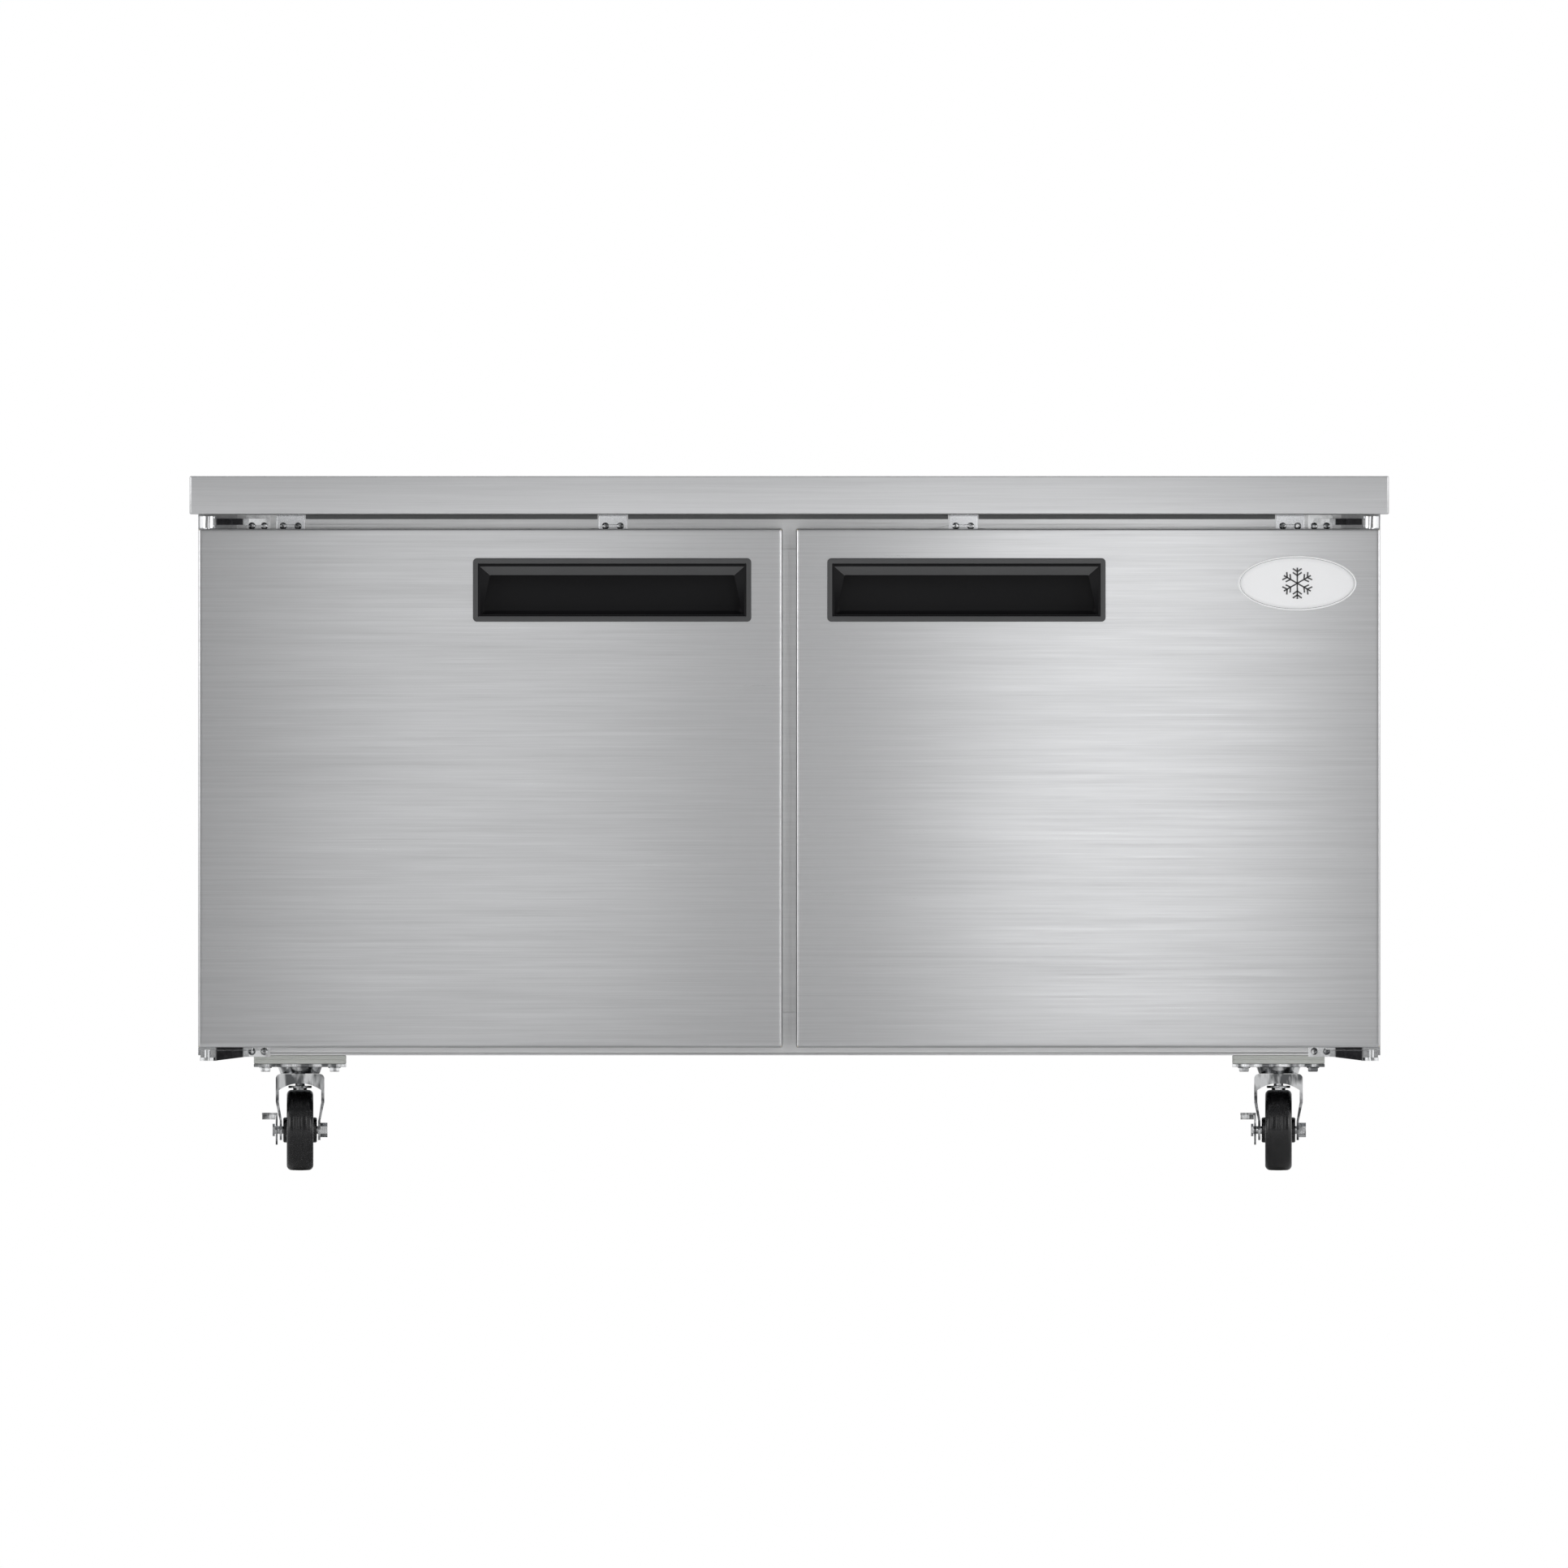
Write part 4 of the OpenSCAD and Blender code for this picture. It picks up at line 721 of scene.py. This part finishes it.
def screw_mesh():
    """Pan head with a cross recess, looking towards -Y with its seat at y = 0, in metres."""
    profile = ((4.5, 0.0), (4.5, 0.7), (4.3, 1.2), (3.8, 1.7), (3.0, 2.1), (2.0, 2.3), (0.9, 2.4))
    bm = bmesh.new()
    loft(bm, [oval((0, 0), 2 * r * MM, 2 * r * MM, -rise * MM, steps=32) for r, rise in profile])
    bmesh.ops.recalc_face_normals(bm, faces=bm.faces)
    head = bpy.data.meshes.new("screw_head")
    bm.to_mesh(head)
    bm.free()
    cutter = bmesh.new()
    for turn in (0, 90):
        made = bmesh.new()
        block(made, (-2.6 * MM, -4 * MM, -0.55 * MM), (2.6 * MM, -1.2 * MM, 0.55 * MM), 0.15 * MM, 1)
        made.transform(Matrix.Rotation(math.radians(turn), 4, "Y"))
        absorb(cutter, made)
    tool = bpy.data.meshes.new("screw_tool")
    cutter.to_mesh(tool)
    cutter.free()
    return cut(head, tool)


def cut(body, tool):
    """Mesh of the body with the tool's shape taken out of it."""
    first = bpy.data.objects.new("cut_body", body)
    second = bpy.data.objects.new("cut_tool", tool)
    for obj in (first, second):
        bpy.context.scene.collection.objects.link(obj)
    boolean = first.modifiers.new("cut", "BOOLEAN")
    boolean.operation = "DIFFERENCE"
    boolean.solver = "EXACT"
    boolean.use_self = True
    boolean.object = second
    bpy.context.view_layer.update()
    graph = bpy.context.evaluated_depsgraph_get()
    result = bpy.data.meshes.new_from_object(first.evaluated_get(graph))
    bpy.data.objects.remove(first)
    bpy.data.objects.remove(second)
    return result


def make_screws():
    """All the pan head screws, on their CAD places."""
    head = screw_mesh()
    bm = bmesh.new()
    head_height = 2.4 * MM
    for index, (low, high) in enumerate(solids("frame_screws")):
        seat = low.y + head_height
        copy = head.copy()
        turn = Matrix.Rotation(math.radians(37 * index), 4, "Y")
        copy.transform(Matrix.Translation(((low.x + high.x) / 2, seat, (low.z + high.z) / 2)) @ turn)
        bm.from_mesh(copy)
        bpy.data.meshes.remove(copy)
    piece("frame_screw_heads", bm, "frame_screws", sharp=30)


def make_caster_bolts():
    """Hexagon heads with chamfered corners, each on a round flange."""
    head_height = 6 * MM
    bm = bmesh.new()
    for low, high in solids("caster_bolts"):
        middle = ((low.x + high.x) / 2, (low.y + high.y) / 2)
        seat = low.z + head_height
        flange = [(15.6, 0.0), (16.0, 0.4), (16.0, 1.0), (14.8, 1.4)]
        loft(bm, [oval(middle, d * MM, d * MM, seat - rise * MM, "z", 32) for d, rise in flange])
        hexagon = [(12.6, 1.3), (14.6, 1.3), (14.6, 4.9), (12.4, 6.0)]
        loft(bm, [oval(middle, d * MM, d * MM, seat - rise * MM, "z", 6) for d, rise in hexagon])
    piece("caster_bolt_heads", bm, "caster_bolts", sharp=30)


def make_worktop_shadow_strip():
    """Dark grey strip on the top rail just under the worktop, in the spans between the brackets: painted
    shadow, standing for the shade under the worktop's overhang.
    """
    low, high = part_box("top_rail")
    brackets = solids("worktop_brackets")
    gap = 1.5 * MM
    bm = bmesh.new()
    for left, right in zip(brackets, brackets[1:]):
        start = (left[1].x + gap, low.y - 1.4 * MM, high.z - 6.2 * MM)
        end = (right[0].x - gap, low.y, high.z - 0.1 * MM)
        block(bm, start, end, 0.5 * MM)
    # Painted shadow: a thin grey block takes the place of the shade under the worktop.
    piece("worktop_shadow_strip", bm, "top_rail", stands_for=False, slot="gasket_grey")


# ---------------------------------------------------------------- casters


def make_wheel(corner):
    """Moulded wheel: crowned tread with two mould lines, round shoulders, dished web and hub."""
    node = f"caster_{corner}_wheel"
    low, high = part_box(node)
    middle = ((low.y + high.y) / 2, (low.z + high.z) / 2)
    centre = (low.x + high.x) / 2
    radius = (high.z - low.z) / 2
    half_hub = (high.x - low.x) / 2
    half = half_hub - 4.5 * MM
    hub = 16 * MM
    bore = 5.1 * MM
    profile = [(half_hub, bore), (half_hub, hub - 1.2 * MM), (half_hub - 1.2 * MM, hub),
               (half - 3.6 * MM, hub + 0.4 * MM), (half - 4 * MM, hub + 2 * MM),
               (half - 4 * MM, radius - 15 * MM), (half - 3 * MM, radius - 13.2 * MM),
               (half - 0.4 * MM, radius - 12.4 * MM), (half, radius - 11.4 * MM), (half, radius - 7 * MM)]
    shoulder = 6.6 * MM
    for sine, cosine in quarter(8)[1:-1]:
        profile.append((half - shoulder * (1 - cosine), radius - 0.4 * MM - shoulder * (1 - sine)))
    mould_lines = (8.6, 2.0)
    line_shape = ((0.9, -0.12), (0.35, -0.12), (0.2, 0.0), (-0.2, 0.0), (-0.35, -0.12))
    for line in mould_lines:
        for offset, rise in line_shape:
            crown = 0.3 * MM * ((line + offset) / 10) ** 2
            profile.append(((line + offset) * MM, radius - crown + rise * MM))
    left = [(-along, height) for along, height in reversed(profile)]
    rings = [oval(middle, 2 * r, 2 * r, centre + along, "x", 96) for along, r in profile + left]
    bm = bmesh.new()
    loft(bm, rings, closed=True)
    piece(f"caster_{corner}_tyre", bm, node, sharp=40)


def make_pedal_lip(side):
    """Front lip of a brake pedal's foot tab, rolled down from its edge."""
    node = f"brake_pedal_{side}"
    low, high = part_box(node)
    front = low.y - 0.2 * MM
    top = high.z - 0.2 * MM
    foot = high.z - 8.6 * MM
    radius = 3.4 * MM
    sheet = 1.8 * MM
    outside = []
    inside = []
    for sine, cosine in quarter(6):
        for points, reach in ((outside, radius), (inside, radius - sheet)):
            points.append((front + radius - reach * sine, top - radius + reach * cosine))
    profile = outside + [(front, foot), (front + sheet, foot)] + inside[::-1]
    bm = bmesh.new()
    ends = (low.x + 0.2 * MM, low.x + 17 * MM)
    loft(bm, [[(x, y, z) for y, z in profile] for x in ends])
    rims = [edge for edge in bm.edges if edge.verts[0].co.x == edge.verts[1].co.x]
    bmesh.ops.bevel(bm, geom=rims, offset=0.3 * MM, segments=2, profile=0.5,
                    affect="EDGES", clamp_overlap=True)
    piece(f"brake_pedal_{side}_lip", bm, node, stands_for=False)


def make_pads():
    """Moulded spacer pads with soft edges, a step under the rim and a fine seam line."""
    bm = bmesh.new()
    for low, high in solids("caster_pads"):
        outer = (low.x, high.x, low.y, high.y)
        seam = (low.z + high.z) / 2
        levels = ((1.2, low.z), (0.3, low.z + 0.5 * MM), (0.0, low.z + 1.4 * MM), (0.0, seam - 0.4 * MM),
                  (0.5, seam), (0.0, seam + 0.4 * MM), (0.0, high.z - 1.4 * MM), (0.3, high.z - 0.5 * MM),
                  (1.2, high.z))
        loft(bm, [ring(inset(outer, drawn * MM), 4 * MM, level, "z") for drawn, level in levels])
    piece("caster_spacers", bm, "caster_pads")


# ---------------------------------------------------------------- the rest of the frame


def dress_cad():
    """Finishes and rounded edges of the parts that stay as the CAD made them."""
    bevels = {
        "side_panel_left": 0.4, "side_panel_right": 0.4, "back_panel": 0.3, "roof_panel": 0.3,
        "base_pan": 0.3, "insulation": 0.0, "inner_liner": 0.3, "top_rail": 0.4, "bottom_rail": 0.4,
        "mullion": 0.4, "mullion_cover": 0.4, "worktop_core": 0.0, "worktop_brackets": 0.5,
        "shelf_standards": 0.4, "shelf_clips": 0.8, "wire_shelves": 0.0, "evaporator_cover": 0.8,
        "evaporator_coil": 0.0, "fan_motors": 1.0, "compressor": 1.5, "condenser_coil": 0.0,
        "fan_shroud": 0.6, "refrigerant_lines": 0.0, "drain_pan": 0.8, "rear_grille": 0.3,
        "thermostat_box": 2.0, "power_inlet": 0.5, "top_hinges": 0.7, "bottom_hinges": 0.7,
        "caster_plates": 0.6, "evaporator_fan": 0.5, "condenser_fan": 0.5, "thermostat_knob": 0.8,
    }
    for side in SIDES:
        bevels[f"door_{side}_foam"] = 0.0
        bevels[f"door_{side}_hinge_plate"] = 0.5
        bevels[f"brake_pedal_{side}"] = 0.6
    for corner in CORNERS:
        bevels[f"caster_{corner}_fork"] = 1.0
    for node, bevel in bevels.items():
        dress(node, bevel)


# ---------------------------------------------------------------- stage


def make_floor():
    """Plain pale floor under the casters."""
    half_width = 30
    gap = 0.5 * MM
    bm = bmesh.new()
    bmesh.ops.create_grid(bm, x_segments=8, y_segments=8, size=half_width)
    mesh = bpy.data.meshes.new("floor")
    bm.to_mesh(mesh)
    bm.free()
    mesh.materials.append(finish("floor_paint", (0.86, 0.86, 0.86), roughness=0.6, grain=(40, 40, 40),
                                 contrast=0.01, spread=0.05, depth=0.0))
    floor = bpy.data.objects.new("floor", mesh)
    floor.location.z = -gap
    bpy.context.scene.collection.objects.link(floor)


def make_light(name, place, aim, size, brightness):
    """Rectangular softbox at a place, turned towards a point. White paper at full light has brightness 1."""
    data = bpy.data.lights.new(name, "AREA")
    data.shape = "RECTANGLE"
    data.size = size[0]
    data.size_y = size[1]
    data.energy = brightness * math.pi * size[0] * size[1]
    light = bpy.data.objects.new(name, data)
    light.location = place
    light.rotation_euler = (Vector(aim) - Vector(place)).to_track_quat("-Z", "Y").to_euler()
    bpy.context.scene.collection.objects.link(light)


def make_lights():
    """Two tall strips in front of the doors, soft boxes at both sides and one overhead."""
    softboxes = {
        "strip_right": dict(place=(0.43, -1.6, 1.21), aim=(0.43, 0, 1.21), size=(0.46, 2.2), brightness=1.12),
        "strip_left": dict(place=(-0.4, -1.6, 1.21), aim=(-0.4, 0, 1.21), size=(0.5, 2.2), brightness=0.66),
        "side_right": dict(place=(2.8, -2.2, 1.5), aim=(0, -0.2, 0.6), size=(1.6, 2.0), brightness=2.1),
        "side_left": dict(place=(-2.8, -2.2, 1.5), aim=(0, -0.2, 0.6), size=(1.6, 2.0), brightness=2.1),
        "overhead": dict(place=(0, 0.5, 3.2), aim=(0, 0, 0), size=(3.0, 1.6), brightness=0.6),
    }
    for name, softbox in softboxes.items():
        make_light(name, **softbox)


def make_world():
    """White room: white behind the object and at both sides, and a softer grey in front of it."""
    world = bpy.data.worlds.new("studio")
    world.use_nodes = True
    tree = world.node_tree
    tree.nodes.clear()
    front_level = 0.16
    back_level = 0.95
    side_level = 1.25
    depth = remap(tree, position(tree, "Generated", "Y"), front_level, back_level, -0.2, 0.5)
    across = calculate(tree, "ABSOLUTE", position(tree, "Generated", "X"))
    walls = remap(tree, across, 0.0, side_level, 0.62, 0.92)
    room = tree.nodes.new("ShaderNodeBackground")
    tree.links.new(calculate(tree, "MAXIMUM", depth, walls), room.inputs["Strength"])
    seen = add(tree, "ShaderNodeBackground", Strength=1.0)
    for node in (room, seen):
        node.inputs["Color"].default_value = (1, 1, 1, 1)
    path = tree.nodes.new("ShaderNodeLightPath")
    mix = tree.nodes.new("ShaderNodeMixShader")
    out = tree.nodes.new("ShaderNodeOutputWorld")
    tree.links.new(path.outputs["Is Camera Ray"], mix.inputs["Fac"])
    tree.links.new(room.outputs["Background"], mix.inputs[1])
    tree.links.new(seen.outputs["Background"], mix.inputs[2])
    tree.links.new(mix.outputs["Shader"], out.inputs["Surface"])
    bpy.context.scene.world = world
    bpy.context.scene.view_settings.view_transform = "Standard"


def make_camera():
    """Level camera straight in front, with parallel projection."""
    view_width = 2.0
    distance = 6.0
    middle_x = -0.0067
    middle_z = 0.493
    data = bpy.data.cameras.new("camera")
    data.type = "ORTHO"
    data.ortho_scale = view_width
    camera = bpy.data.objects.new("camera", data)
    camera.location = (middle_x, -distance, middle_z)
    camera.rotation_euler = (math.radians(90), 0, 0)
    bpy.context.scene.collection.objects.link(camera)
    bpy.context.scene.camera = camera


# ---------------------------------------------------------------- build

make_camera()
dress_cad()
make_worktop()
make_worktop_shadow_strip()
for side in SIDES:
    make_door_skin(side)
    make_door_liner(side)
    make_gasket(side)
    make_handle(side)
make_badge()
make_screws()
make_caster_bolts()
make_pads()
for corner in CORNERS:
    make_wheel(corner)
for side in SIDES:
    make_pedal_lip(side)
make_floor()
make_lights()
make_world()
